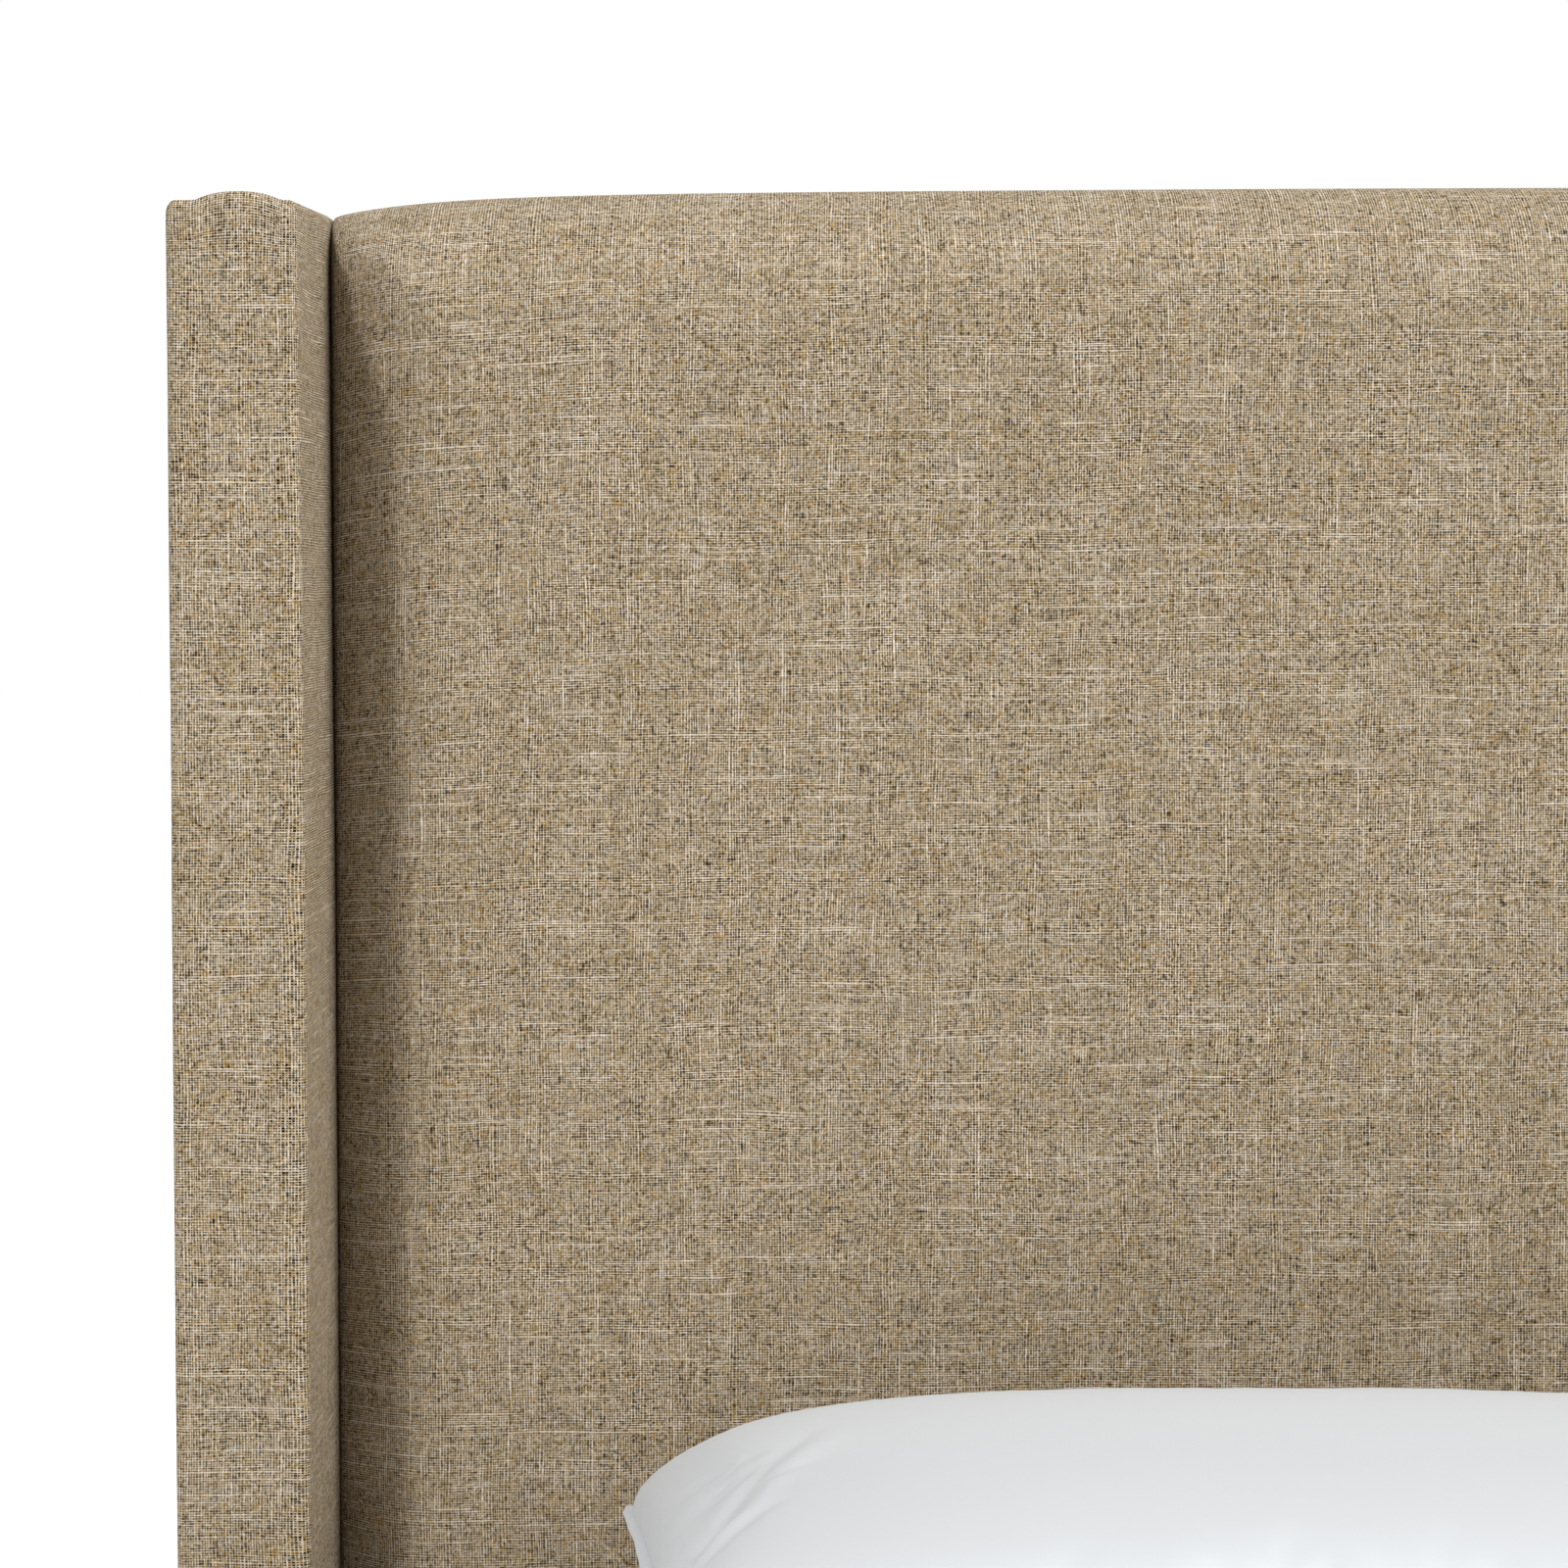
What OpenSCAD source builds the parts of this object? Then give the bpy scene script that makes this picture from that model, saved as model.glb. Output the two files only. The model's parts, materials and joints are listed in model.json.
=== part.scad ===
// Wingback bed with a padded headboard, padded rails, a slatted deck, a mattress and two pillows.
// Millimetres. +Z is up and +Y points to the head end, so left is -X.
// The origin is on the floor, under the middle of the bed.

/* [Mattress] */
// Width of the mattress
mattress_w = 1524; // [1400:1:1560]
// Length of the mattress
mattress_l = 2032; // [1880:1:2100]
// Thickness of the mattress
mattress_h = 305; // [200:5:360]
// Radius of the mattress's upright corners
mattress_corner_r = 60; // [30:5:90]

/* [Pillows] */
// Width of a filled pillow
pillow_w = 608; // [500:1:700]
// Depth of a filled pillow, from its front edge to its back edge
pillow_d = 450; // [350:1:500]
// Height of a pillow's crest above the mattress
pillow_h = 175; // [120:1:200]
// Distance from the middle of the bed to the middle of a pillow
pillow_x = 328; // [312:1:360]
// Gap between the headboard's padding and a pillow
pillow_gap = 81; // [20:1:150]

/* [Headboard] */
// Height of the headboard above the floor
headboard_h = 1372; // [1200:1:1500]
// Clear width between the two wings
wing_gap = 1575; // [1566:1:1640]
// Depth of the headboard from its back to the face of its padding
panel_d = 107; // [95:1:125]
// Height of the bottom edge of the headboard's deep padding
pad_bottom = 340; // [335:1:500]
// Radius of the padded roll along the top
top_roll_r = 57; // [35:1:60]
// Radius of the padded roll down each side
side_roll_r = 40; // [20:1:45]
// Thickness of the headboard's timbers
timber_t = 38; // [32:1:45]
// Thickness of the plywood sheet
plywood_t = 9; // [6:1:12]

/* [Wings] */
// Height of a wing above the floor
wing_h = 1358; // [1180:1:1480]
// Thickness of a wing
wing_t = 64; // [56:1:80]
// Depth of a wing from front to back
wing_d = 190; // [170:1:230]
// Thickness of the padding on a wing's two sides
wing_pad_t = 9.5; // [6:0.5:12]
// Thickness of the padding on a wing's front edge
wing_front_pad_t = 18; // [12:1:24]

/* [Rails] */
// Height of the rails' bottom edge above the floor
rail_bottom = 110; // [90:1:160]
// Height of the rails' top edge above the floor
rail_top = 400; // [380:1:430]
// Thickness of the rail boards
board_t = 25; // [20:1:32]
// Thickness of the padding on the rails' outer faces
rail_pad_t = 18; // [10:1:24]

/* [Deck] */
// Height of the top of the slats
deck_z = 330; // [320:1:345]
// Number of slats
slat_count = 13; // [9:1:16]
// Width of a slat
slat_w = 70; // [50:1:90]
// Thickness of a slat
slat_t = 18; // [12:1:22]
// Distance between the legs under the centre beam
centre_leg_pitch = 650; // [500:10:750]

/* [Hidden] */
$fn = 96;

// layers of the upholstery
cover_t = 1.5;
skin_t = 3;
layers_t = cover_t + wing_pad_t + skin_t;

// widths, measured from the middle of the bed
wing_in = wing_gap / 2;
wing_out = wing_in + wing_t;
timber_x = wing_in + layers_t;
stile_w = wing_t - 2 * layers_t;
rail_out = timber_x + board_t + rail_pad_t + cover_t;

// places along the bed
head_gap = 8;
foot_gap = 13;
rail_wrap = board_t + rail_pad_t + 2 * cover_t;
bed_l = panel_d + head_gap + mattress_l + foot_gap + rail_wrap;
back = bed_l / 2;
staple_t = 0.4;
dust_t = 0.6;
timber_back = back - staple_t - dust_t;
plywood_y = timber_back - timber_t - plywood_t;
panel_y = back - panel_d;
wing_y = back - wing_d;
foot_out = -bed_l / 2;
foot_y = foot_out + rail_wrap - cover_t;
mattress_y0 = foot_y + cover_t + foot_gap;

// headboard timbers
panel_bottom = 100;
timber_top = headboard_h - 20;
dust_top = headboard_h - 12;
headboard_stile_w = 60;
bottom_rail_h = 70;
deck_rail_h = 80;
deck_rail_z = deck_z - slat_t - deck_rail_h;
middle_rail_z = 830;
top_rail_h = 60;
stud_w = 45;
stud_x = 250;

// wing frames
glide_h = 8;
wing_bottom = glide_h;
wing_back_pad_t = 2;
wing_top_pad_t = 12;
wing_edge_r = 6;
wing_top_r = 7;
wing_timber_y = wing_y + cover_t + wing_front_pad_t;
wing_timber_back = back - cover_t - wing_back_pad_t;
wing_timber_z = wing_bottom + cover_t;
wing_timber_top = wing_h - cover_t - wing_top_pad_t;
wing_stile_d = 45;
rung_h = 45;
rung_count = 5;
bolt_y = timber_back - timber_t / 2;
bolt_heights = [200, 700, 1220];
bolt_r = 4;
bolt_hole_r = 4.25;
bolt_head_r = 7.5;
bolt_head_t = 5.3;
tee_barrel_r = 5.2;
tee_barrel_l = 12;
tee_flange_r = 11;
tee_flange_t = 1.5;

// rails and their fittings
board_inset = 12;
hem_h = 40;
board_z0 = rail_bottom + board_inset;
board_z1 = rail_top - board_inset;
bare_z0 = rail_bottom + hem_h;
bare_z1 = rail_top - hem_h;
rail_edge_r = 12;
foot_corner_r = 20;
ledger_t = 30;
ledger_h = 35;
ledger_z = deck_z - slat_t - ledger_h;
ledger_screws_each = 8;
ledger_screw_l = 50;
ledger_screw_r = 2.5;
ledger_head_r = 5;
ledger_head_t = 2.5;
plate_t = 4;
plate_z = 180;
plate_h = 80;
plate_reach = 90;
plate_play = 5;
plate_screw_edge = 20;
bracket_leg = 80;
bracket_screws_at = [30, 60];
screw_r = 3;
screw_l = 22;
head_r = 6;
head_t = 3;

// legs
block_side = 80;
block_h = 60;
leg_x = timber_x - cover_t - block_side / 2;
leg_y = foot_y + cover_t + block_side / 2;
leg_stud_depth = 50;
leg_glide_h = 6;
leg_top_r = 27;
leg_foot_r = 17;
glide_r = 14;
glide_pin_r = 1.5;
glide_pin_l = 20;
beam_w = 40;
beam_z = deck_rail_z;
beam_top = deck_z - slat_t;
hanger_t = 3;
hanger_l = 50;
hanger_half_w = 45;
hanger_drop = 12;
hanger_screw_x = 34;
hanger_screw_edge = 15;
beam_y0 = foot_y + hanger_t;
beam_y1 = plywood_y - cover_t - hanger_t;
centre_leg_w = 45;
centre_leg_z = 12;
stem_r = 4;
stem_l = 50;
stem_hole_r = 4.1;
foot_pad_r = 17;
foot_pad_h = 4;
foot_hex_r = 9;
foot_hex_z = 8;

// slats and straps
slat_end_gap = 4.5;
slat_margin = 50;
strap_x = 450;
strap_w = 25;
strap_t = 1.5;

// mattress and pillows
ticking_t = 4;
case_t = 2;
mattress_top = deck_z + mattress_h;
pillow_back = panel_y - pillow_gap;
pillow_sink = 9;
pillow_rim = 15;

SIDES = ["left", "right"];
function per_side(before, after) = [for (side = SIDES) str(before, side, after)];
LEVELLERS = [for (i = [1:3]) str("levelling_foot_", i)];

// ---- shared shapes -------------------------------------------------------------------------------

// a box between two corners
module block(low, high) {
    translate(low)
        cube(high - low);
}

// the children on the bed's right, or their mirror image on its left
module on_side(side) {
    mirror([side == "left" ? 1 : 0, 0, 0])
        children();
}

module on_both_sides() {
    for (side = SIDES)
        on_side(side)
            children();
}

// a rectangle whose upper corners are round
module round_topped(low, high, r) {
    translate(low)
        square([high.x - low.x, high.y - low.y - r]);
    translate([low.x + r, low.y])
        square([high.x - low.x - 2 * r, high.y - low.y]);
    for (x = [low.x + r, high.x - r])
        translate([x, high.y - r])
            circle(r);
}

// an outline in X and Z, drawn out along Y
module along_y(y0, y1) {
    translate([0, y1, 0])
        rotate([90, 0, 0])
            linear_extrude(y1 - y0)
                children();
}

// an outline in Y and Z, drawn out along X
module along_x(x0, x1) {
    translate([x0, 0, 0])
        rotate([90, 0, 90])
            linear_extrude(x1 - x0)
                children();
}

// a round bar along X, from x0 to x1
module bar_x(x0, x1, r) {
    translate([x0, 0, 0])
        rotate([0, 90, 0])
            cylinder(h = x1 - x0, r = r);
}

// a wood screw along +X whose head's underside is at x = 0
module screw_x() {
    bar_x(-head_t, 0, head_r);
    bar_x(-0.1, screw_l, screw_r);
}

// a hole for that screw
module screw_hole_x() {
    bar_x(-head_t, screw_l, screw_r);
}

// ---- headboard -----------------------------------------------------------------------------------

// the timbers' space between two heights and two distances from the middle
module headboard_timber(x0, x1, z0, z1) {
    block([x0, timber_back - timber_t, z0], [x1, timber_back, z1]);
}

module headboard_cross_rail(z0, z1) {
    x = timber_x - headboard_stile_w;
    color("burlywood")
        headboard_timber(-x, x, z0, z1);
}

module headboard_top_rail() {
    headboard_cross_rail(timber_top - top_rail_h, timber_top);
}

module headboard_middle_rail() {
    headboard_cross_rail(middle_rail_z, middle_rail_z + top_rail_h);
}

module headboard_deck_rail() {
    difference() {
        headboard_cross_rail(deck_rail_z, deck_rail_z + deck_rail_h);
        hanger_screw_holes();
    }
}

module headboard_bottom_rail() {
    headboard_cross_rail(panel_bottom, panel_bottom + bottom_rail_h);
}

module headboard_stile(side) {
    color("burlywood")
        on_side(side)
            difference() {
                headboard_timber(timber_x - headboard_stile_w, timber_x, panel_bottom, timber_top);
                wing_bolt_holes();
            }
}

// studs between the deck rail and the top rail, cut by the middle rail
module headboard_studs() {
    spans = [
        [deck_rail_z + deck_rail_h, middle_rail_z],
        [middle_rail_z + top_rail_h, timber_top - top_rail_h]
    ];
    color("burlywood")
        for (x = [-stud_x, stud_x], span = spans)
            headboard_timber(x - stud_w / 2, x + stud_w / 2, span[0], span[1]);
}

module headboard_plywood() {
    color("tan")
        difference() {
            block([-timber_x, plywood_y, panel_bottom], [timber_x, plywood_y + plywood_t, timber_top]);
            hanger_screw_holes();
        }
}

// the padded form between the wings, with its top roll and side rolls
module panel_form(inset, back_y) {
    half_w = wing_in - inset;
    face = panel_y + inset;
    top = headboard_h - inset;
    bottom = pad_bottom - cover_t + inset;
    top_r = top_roll_r - inset;
    side_r = side_roll_r - inset;
    intersection() {
        along_x(-half_w, half_w) {
            translate([face + top_r, bottom])
                square([back_y - face - top_r, top - bottom]);
            translate([face, bottom])
                square([back_y - face, top - bottom - top_r]);
            translate([face + top_r, top - top_r])
                circle(top_r);
        }
        translate([0, 0, bottom])
            linear_extrude(top - bottom)
                mirror([0, 1])
                    round_topped([-half_w, -back_y], [half_w, -face], side_r);
    }
}

module headboard_pad() {
    color("khaki")
        difference() {
            panel_form(cover_t, timber_back);
            block([-timber_x, plywood_y, 0], [timber_x, back, timber_top]);
        }
}

// linen over the padding and, below it, over the plywood and its bottom edge
module headboard_cover() {
    color("tan") {
        difference() {
            panel_form(0, timber_back);
            panel_form(cover_t, back);
            block([-timber_x, plywood_y, 0], [timber_x, back, timber_top]);
        }
        difference() {
            block([-wing_in, plywood_y - cover_t, panel_bottom - cover_t],
                  [wing_in, timber_back, pad_bottom - cover_t]);
            block([-timber_x, plywood_y, panel_bottom], [timber_x, back, headboard_h]);
            hanger_screw_holes();
        }
    }
}

module headboard_dust_cover() {
    color("dimgray")
        block([-timber_x, timber_back, panel_bottom], [timber_x, timber_back + dust_t, dust_top]);
}

// one row of staples along X or along Z
module staple_row(from, to, count) {
    crown = 10;
    wire = 1.2;
    for (i = [0:count - 1])
        translate(from + (to - from) * i / (count - 1))
            cube([crown, staple_t, wire], center = true);
}

module dust_cover_staples() {
    edge = 15;
    corner = 100;
    x = timber_x - edge - 5;
    y = timber_back + dust_t + staple_t / 2;
    low = panel_bottom + edge;
    high = timber_top - edge;
    color("silver") {
        for (z = [low, high])
            staple_row([-x, y, z], [x, y, z], 15);
        for (side_x = [-x, x])
            staple_row([side_x, y, low + corner], [side_x, y, high - corner], 10);
    }
}

// ---- wings ---------------------------------------------------------------------------------------

// the outside of the right wing, with its front and top edges rounded
module wing_form(inset) {
    low = [wing_in + inset, wing_y + inset];
    high = [wing_out - inset, back - inset];
    top = wing_h - inset;
    bottom = wing_bottom + inset;
    intersection() {
        translate([0, 0, bottom])
            linear_extrude(top - bottom)
                mirror([0, 1])
                    round_topped([low.x, -high.y], [high.x, -low.y], wing_edge_r - inset);
        along_y(low.y, high.y)
            round_topped([low.x, bottom], [high.x, top], wing_top_r - inset);
    }
}

// what the right wing's padding leaves free: the headboard's timbers and the joining plate
module wing_clearances() {
    block([0, plywood_y, panel_bottom], [timber_x, back + 1, wing_h + 1]);
    block([wing_in - 1, wing_y - 1, plate_z - plate_play],
          [timber_x, wing_y + plate_reach + plate_play, plate_z + plate_h + plate_play]);
}

module wing_bolt_holes() {
    for (z = bolt_heights)
        translate([0, bolt_y, z])
            bar_x(timber_x - headboard_stile_w - 1, timber_x + stile_w + 1, bolt_hole_r);
}

module wing_timber(y0, y1, z0, z1) {
    block([timber_x, y0, z0], [timber_x + stile_w, y1, z1]);
}

module wing_front_stile(side) {
    color("burlywood")
        on_side(side)
            difference() {
                wing_timber(wing_timber_y, wing_timber_y + wing_stile_d, wing_timber_z, wing_timber_top);
                joining_screw_places(true)
                    screw_hole_x();
                glide_places_wing()
                    cylinder(h = glide_h + glide_pin_l, r = glide_pin_r);
            }
}

module wing_back_stile(side) {
    color("burlywood")
        on_side(side)
            difference() {
                wing_timber(wing_timber_back - wing_stile_d, wing_timber_back,
                            wing_timber_z, wing_timber_top);
                wing_bolt_holes();
                tee_nut_places() {
                    bar_x(-tee_barrel_l, 1, tee_barrel_r);
                    bar_x(-tee_flange_t, 1, tee_flange_r);
                }
                glide_places_wing()
                    cylinder(h = glide_h + glide_pin_l, r = glide_pin_r);
            }
}

// short cross pieces that join a wing's two stiles
module wing_rungs() {
    pitch = (wing_timber_top - wing_timber_z - rung_h) / (rung_count - 1);
    color("burlywood")
        on_both_sides()
            for (i = [0:rung_count - 1])
                wing_timber(wing_timber_y + wing_stile_d, wing_timber_back - wing_stile_d,
                            wing_timber_z + i * pitch, wing_timber_z + i * pitch + rung_h);
}

// hardboard sheets on both sides of each wing's frame
module wing_skins() {
    outer_x = timber_x + stile_w;
    color("saddlebrown")
        on_both_sides() {
            difference() {
                block([timber_x - skin_t, wing_timber_y, wing_timber_z],
                      [timber_x, plywood_y, wing_timber_top]);
                wing_clearances();
            }
            block([outer_x, wing_timber_y, wing_timber_z],
                  [outer_x + skin_t, wing_timber_back, wing_timber_top]);
        }
}

module wing_pad(side) {
    color("khaki")
        on_side(side)
            difference() {
                wing_form(cover_t);
                block([timber_x - skin_t, wing_timber_y, 0],
                      [timber_x + stile_w + skin_t, wing_timber_back, wing_timber_top]);
                wing_clearances();
            }
}

module wing_cover(side) {
    color("tan")
        on_side(side)
            difference() {
                wing_form(0);
                wing_form(cover_t);
                wing_clearances();
                glide_places_wing()
                    cylinder(h = glide_h + glide_pin_l, r = glide_pin_r);
            }
}

// the two glide places under the right wing
module glide_places_wing() {
    for (y = [wing_timber_y + wing_stile_d / 2, wing_timber_back - wing_stile_d / 2])
        translate([timber_x + stile_w / 2, y, 0])
            children();
}

// a nail-on glide of height h, standing on the floor
module glide(h) {
    cylinder(h = h, r = glide_r);
    cylinder(h = h + glide_pin_l, r = glide_pin_r);
}

module wing_glides() {
    color("dimgray")
        on_both_sides()
            glide_places_wing()
                glide(glide_h);
}

// the outer ends of the wing bolts, on the outer face of the back stile
module tee_nut_places() {
    for (z = bolt_heights)
        translate([timber_x + stile_w, bolt_y, z])
            children();
}

// hexagon-headed bolts that hold a wing to the headboard's stile
module wing_bolts() {
    head_x = timber_x - headboard_stile_w;
    color("silver")
        on_both_sides()
            for (z = bolt_heights)
                translate([0, bolt_y, z]) {
                    bar_x(head_x, timber_x + stile_w - tee_flange_t, bolt_r);
                    translate([head_x - bolt_head_t, 0, 0])
                        rotate([0, 90, 0])
                            cylinder(h = bolt_head_t, r = bolt_head_r, $fn = 6);
                }
}

module wing_tee_nuts() {
    color("silver")
        on_both_sides()
            tee_nut_places()
                difference() {
                    union() {
                        bar_x(-tee_barrel_l, 0, tee_barrel_r);
                        bar_x(-tee_flange_t, 0, tee_flange_r);
                    }
                    bar_x(-tee_barrel_l - 1, 1, bolt_r + 0.05);
                }
}

// ---- rails ---------------------------------------------------------------------------------------

// a rail's outline in its outward direction and height, round on the two outer edges
module rail_outline(inner, outer, inset) {
    z0 = rail_bottom + inset;
    z1 = rail_top - inset;
    r = rail_edge_r - inset;
    translate([inner, z0])
        square([outer - inner - r, z1 - z0]);
    translate([inner, z0 + r])
        square([outer - inner, z1 - z0 - 2 * r]);
    for (z = [z0 + r, z1 - r])
        translate([outer - r, z])
            circle(r);
}

module side_rail_form(inset) {
    along_y(foot_y, wing_y)
        rail_outline(timber_x - cover_t + inset, rail_out - inset, inset);
}

module side_board_block() {
    block([timber_x, foot_y, board_z0], [timber_x + board_t, wing_y, board_z1]);
}

module side_rail_board(side) {
    color("burlywood")
        on_side(side)
            difference() {
                side_board_block();
                joining_screw_places(false)
                    screw_hole_x();
                corner_screw_places_side()
                    screw_hole_x();
                ledger_screw_places()
                    bar_x(0, ledger_screw_l, ledger_screw_r);
            }
}

module side_rail_pad(side) {
    color("khaki")
        on_side(side)
            difference() {
                side_rail_form(cover_t);
                side_board_block();
            }
}

module side_rail_cover(side) {
    color("tan")
        on_side(side)
            difference() {
                side_rail_form(0);
                side_rail_form(cover_t);
                block([timber_x - 5, foot_y - 1, bare_z0], [timber_x, wing_y + 1, bare_z1]);
            }
}

// the strip that carries the slats' ends
module side_rail_ledger(side) {
    foot_end_gap = 6;
    head_end_gap = 8;
    color("wheat")
        on_side(side)
            difference() {
                block([timber_x - ledger_t, foot_y + foot_end_gap, ledger_z],
                      [timber_x, wing_y - head_end_gap, ledger_z + ledger_h]);
                ledger_screw_places()
                    bar_x(-1, ledger_screw_l, ledger_screw_r);
            }
}

module ledger_screw_places() {
    margin = 100;
    pitch = (wing_y - foot_y - 2 * margin) / (ledger_screws_each - 1);
    for (i = [0:ledger_screws_each - 1])
        translate([timber_x - ledger_t, foot_y + margin + i * pitch, ledger_z + ledger_h / 2])
            children();
}

module ledger_screws() {
    color("silver")
        on_both_sides()
            ledger_screw_places()
                union() {
                    bar_x(0, ledger_screw_l, ledger_screw_r);
                    bar_x(-ledger_head_t, 0, ledger_head_r);
                }
}

// the foot rail's outside, which runs across the ends of both side rails
module foot_rail_form(inset) {
    outer = foot_out + inset;
    inner = foot_y + cover_t - inset;
    half_w = rail_out - inset;
    intersection() {
        along_x(-half_w, half_w)
            mirror([1, 0])
                rail_outline(-inner, -outer, inset);
        linear_extrude(rail_top)
            mirror([0, 1])
                round_topped([-half_w, -inner], [half_w, -outer], foot_corner_r - inset);
    }
}

module foot_board_block() {
    block([-timber_x - board_t, foot_y - board_t, board_z0], [timber_x + board_t, foot_y, board_z1]);
}

// the ends of the side rails, behind the foot rail's board
module side_rail_ends() {
    on_both_sides()
        block([timber_x - cover_t, foot_y, 0], [rail_out + 1, foot_y + 10, rail_top + 1]);
}

module foot_rail_board() {
    color("burlywood")
        difference() {
            foot_board_block();
            corner_screw_places_foot()
                screw_hole_x();
            hanger_screw_holes();
        }
}

module foot_rail_pad() {
    color("khaki")
        difference() {
            foot_rail_form(cover_t);
            foot_board_block();
            side_rail_ends();
        }
}

module foot_rail_cover() {
    inner_half = timber_x - cover_t;
    color("tan")
        difference() {
            foot_rail_form(0);
            foot_rail_form(cover_t);
            side_rail_ends();
            block([-inner_half, foot_y, bare_z0], [inner_half, foot_y + 5, bare_z1]);
        }
}

// screw places in the plate between a side rail and a wing: in the wing, or in the rail
module joining_screw_places(in_wing) {
    y = wing_y + (in_wing ? wing_front_pad_t + cover_t + wing_stile_d / 2 : -wing_stile_d);
    for (z = [plate_z + plate_screw_edge, plate_z + plate_h - plate_screw_edge])
        translate([timber_x - plate_t, y, z])
            children();
}

module joining_plates() {
    color("gray")
        on_both_sides()
            difference() {
                block([timber_x - plate_t, wing_y - plate_reach, plate_z],
                      [timber_x, wing_y + plate_reach, plate_z + plate_h]);
                for (in_wing = [true, false])
                    joining_screw_places(in_wing)
                        screw_hole_x();
            }
}

// screw places in a corner bracket's leg on the side rail
module corner_screw_places_side() {
    for (y = bracket_screws_at)
        translate([timber_x - plate_t, foot_y + y, plate_z + plate_h / 2])
            children();
}

// screw places in both corner brackets' legs on the foot rail
module corner_screw_places_foot() {
    on_both_sides()
        for (x = bracket_screws_at)
            translate([timber_x - x, foot_y + plate_t, plate_z + plate_h / 2])
                rotate([0, 0, -90])
                    children();
}

module corner_brackets() {
    color("gray")
        difference() {
            on_both_sides() {
                block([timber_x - plate_t, foot_y, plate_z],
                      [timber_x, foot_y + bracket_leg, plate_z + plate_h]);
                block([timber_x - bracket_leg, foot_y, plate_z],
                      [timber_x, foot_y + plate_t, plate_z + plate_h]);
            }
            on_both_sides()
                corner_screw_places_side()
                    screw_hole_x();
            corner_screw_places_foot()
                screw_hole_x();
        }
}

// the wood screws of the joining plates and the corner brackets
module bracket_screws() {
    color("silver") {
        on_both_sides() {
            for (in_wing = [true, false])
                joining_screw_places(in_wing)
                    screw_x();
            corner_screw_places_side()
                screw_x();
        }
        corner_screw_places_foot()
            screw_x();
    }
}

// ---- legs and deck -------------------------------------------------------------------------------

module at_foot_leg() {
    translate([leg_x, leg_y, 0])
        children();
}

// glued blocks inside the foot corners, which the legs screw into
module corner_blocks() {
    half = block_side / 2;
    color("wheat")
        on_both_sides()
            difference() {
                at_foot_leg()
                    block([-half, -half, rail_bottom], [half, half, rail_bottom + block_h]);
                at_foot_leg()
                    cylinder(h = rail_bottom + block_h - 10, r = bolt_r);
            }
}

// a turned, tapered leg under each foot corner
module foot_leg(side) {
    color("saddlebrown")
        on_side(side)
            at_foot_leg()
                difference() {
                    translate([0, 0, leg_glide_h])
                        cylinder(h = rail_bottom - leg_glide_h, r1 = leg_foot_r, r2 = leg_top_r);
                    translate([0, 0, rail_bottom - leg_stud_depth])
                        cylinder(h = leg_stud_depth + 10, r = bolt_r);
                    cylinder(h = leg_glide_h + glide_pin_l, r = glide_pin_r);
                }
}

module leg_glides() {
    color("dimgray")
        on_both_sides()
            at_foot_leg()
                glide(leg_glide_h);
}

// double-ended studs between the foot legs and their blocks
module leg_bolts() {
    color("silver")
        on_both_sides()
            at_foot_leg()
                translate([0, 0, rail_bottom - leg_stud_depth])
                    cylinder(h = leg_stud_depth + block_h - 10, r = bolt_r);
}

module centre_beam() {
    color("burlywood")
        block([-beam_w / 2, beam_y0, beam_z], [beam_w / 2, beam_y1, beam_top]);
}

// the children at the foot end, and turned round at the head end
module at_beam_ends() {
    translate([0, foot_y, 0])
        children();
    translate([0, plywood_y - cover_t, 0])
        rotate([0, 0, 180])
            children();
}

module hanger_screw_places() {
    heights = [beam_z + hanger_screw_edge, beam_top - hanger_screw_edge];
    at_beam_ends()
        for (x = [-hanger_screw_x, hanger_screw_x], z = heights)
            translate([x, hanger_t, z])
                rotate([0, 0, -90])
                    children();
}

module hanger_screw_holes() {
    hanger_screw_places()
        screw_hole_x();
}

// a steel saddle that hangs each end of the beam
module beam_hangers() {
    inner = beam_w / 2;
    outer = inner + hanger_t;
    color("gray")
        difference() {
            at_beam_ends() {
                block([-hanger_half_w, 0, beam_z - hanger_t], [hanger_half_w, hanger_t, beam_top]);
                block([-outer, 0, beam_z - hanger_t], [outer, hanger_l, beam_z]);
                block([-outer, 0, beam_z - hanger_t], [-inner, hanger_l, beam_top - hanger_drop]);
                block([inner, 0, beam_z - hanger_t], [outer, hanger_l, beam_top - hanger_drop]);
            }
            hanger_screw_holes();
        }
}

module hanger_screws() {
    color("silver")
        hanger_screw_places()
            screw_x();
}

module at_centre_leg(i) {
    translate([0, (i - 2) * centre_leg_pitch, 0])
        children();
}

module centre_legs() {
    half = centre_leg_w / 2;
    color("burlywood")
        for (i = [1:3])
            at_centre_leg(i)
                difference() {
                    block([-half, -half, centre_leg_z], [half, half, beam_z]);
                    cylinder(h = centre_leg_z + stem_l + 10, r = stem_hole_r);
                }
}

// a screw-in foot: pad, cone, hexagon and stem
module levelling_foot(i) {
    color("dimgray")
        at_centre_leg(i) {
            cylinder(h = foot_pad_h, r = foot_pad_r);
            translate([0, 0, foot_pad_h])
                cylinder(h = foot_hex_z - foot_pad_h, r1 = foot_pad_r, r2 = foot_hex_r);
            translate([0, 0, foot_hex_z])
                cylinder(h = centre_leg_z - foot_hex_z, r = foot_hex_r, $fn = 6);
            cylinder(h = centre_leg_z + stem_l, r = stem_r);
        }
}

module slats() {
    half_l = timber_x - slat_end_gap;
    first = foot_y + slat_margin;
    pitch = (wing_y - slat_margin - first) / (slat_count - 1);
    color("wheat")
        for (i = [0:slat_count - 1])
            translate([0, first + i * pitch, 0])
                block([-half_l, -slat_w / 2, deck_z - slat_t], [half_l, slat_w / 2, deck_z]);
}

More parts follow.
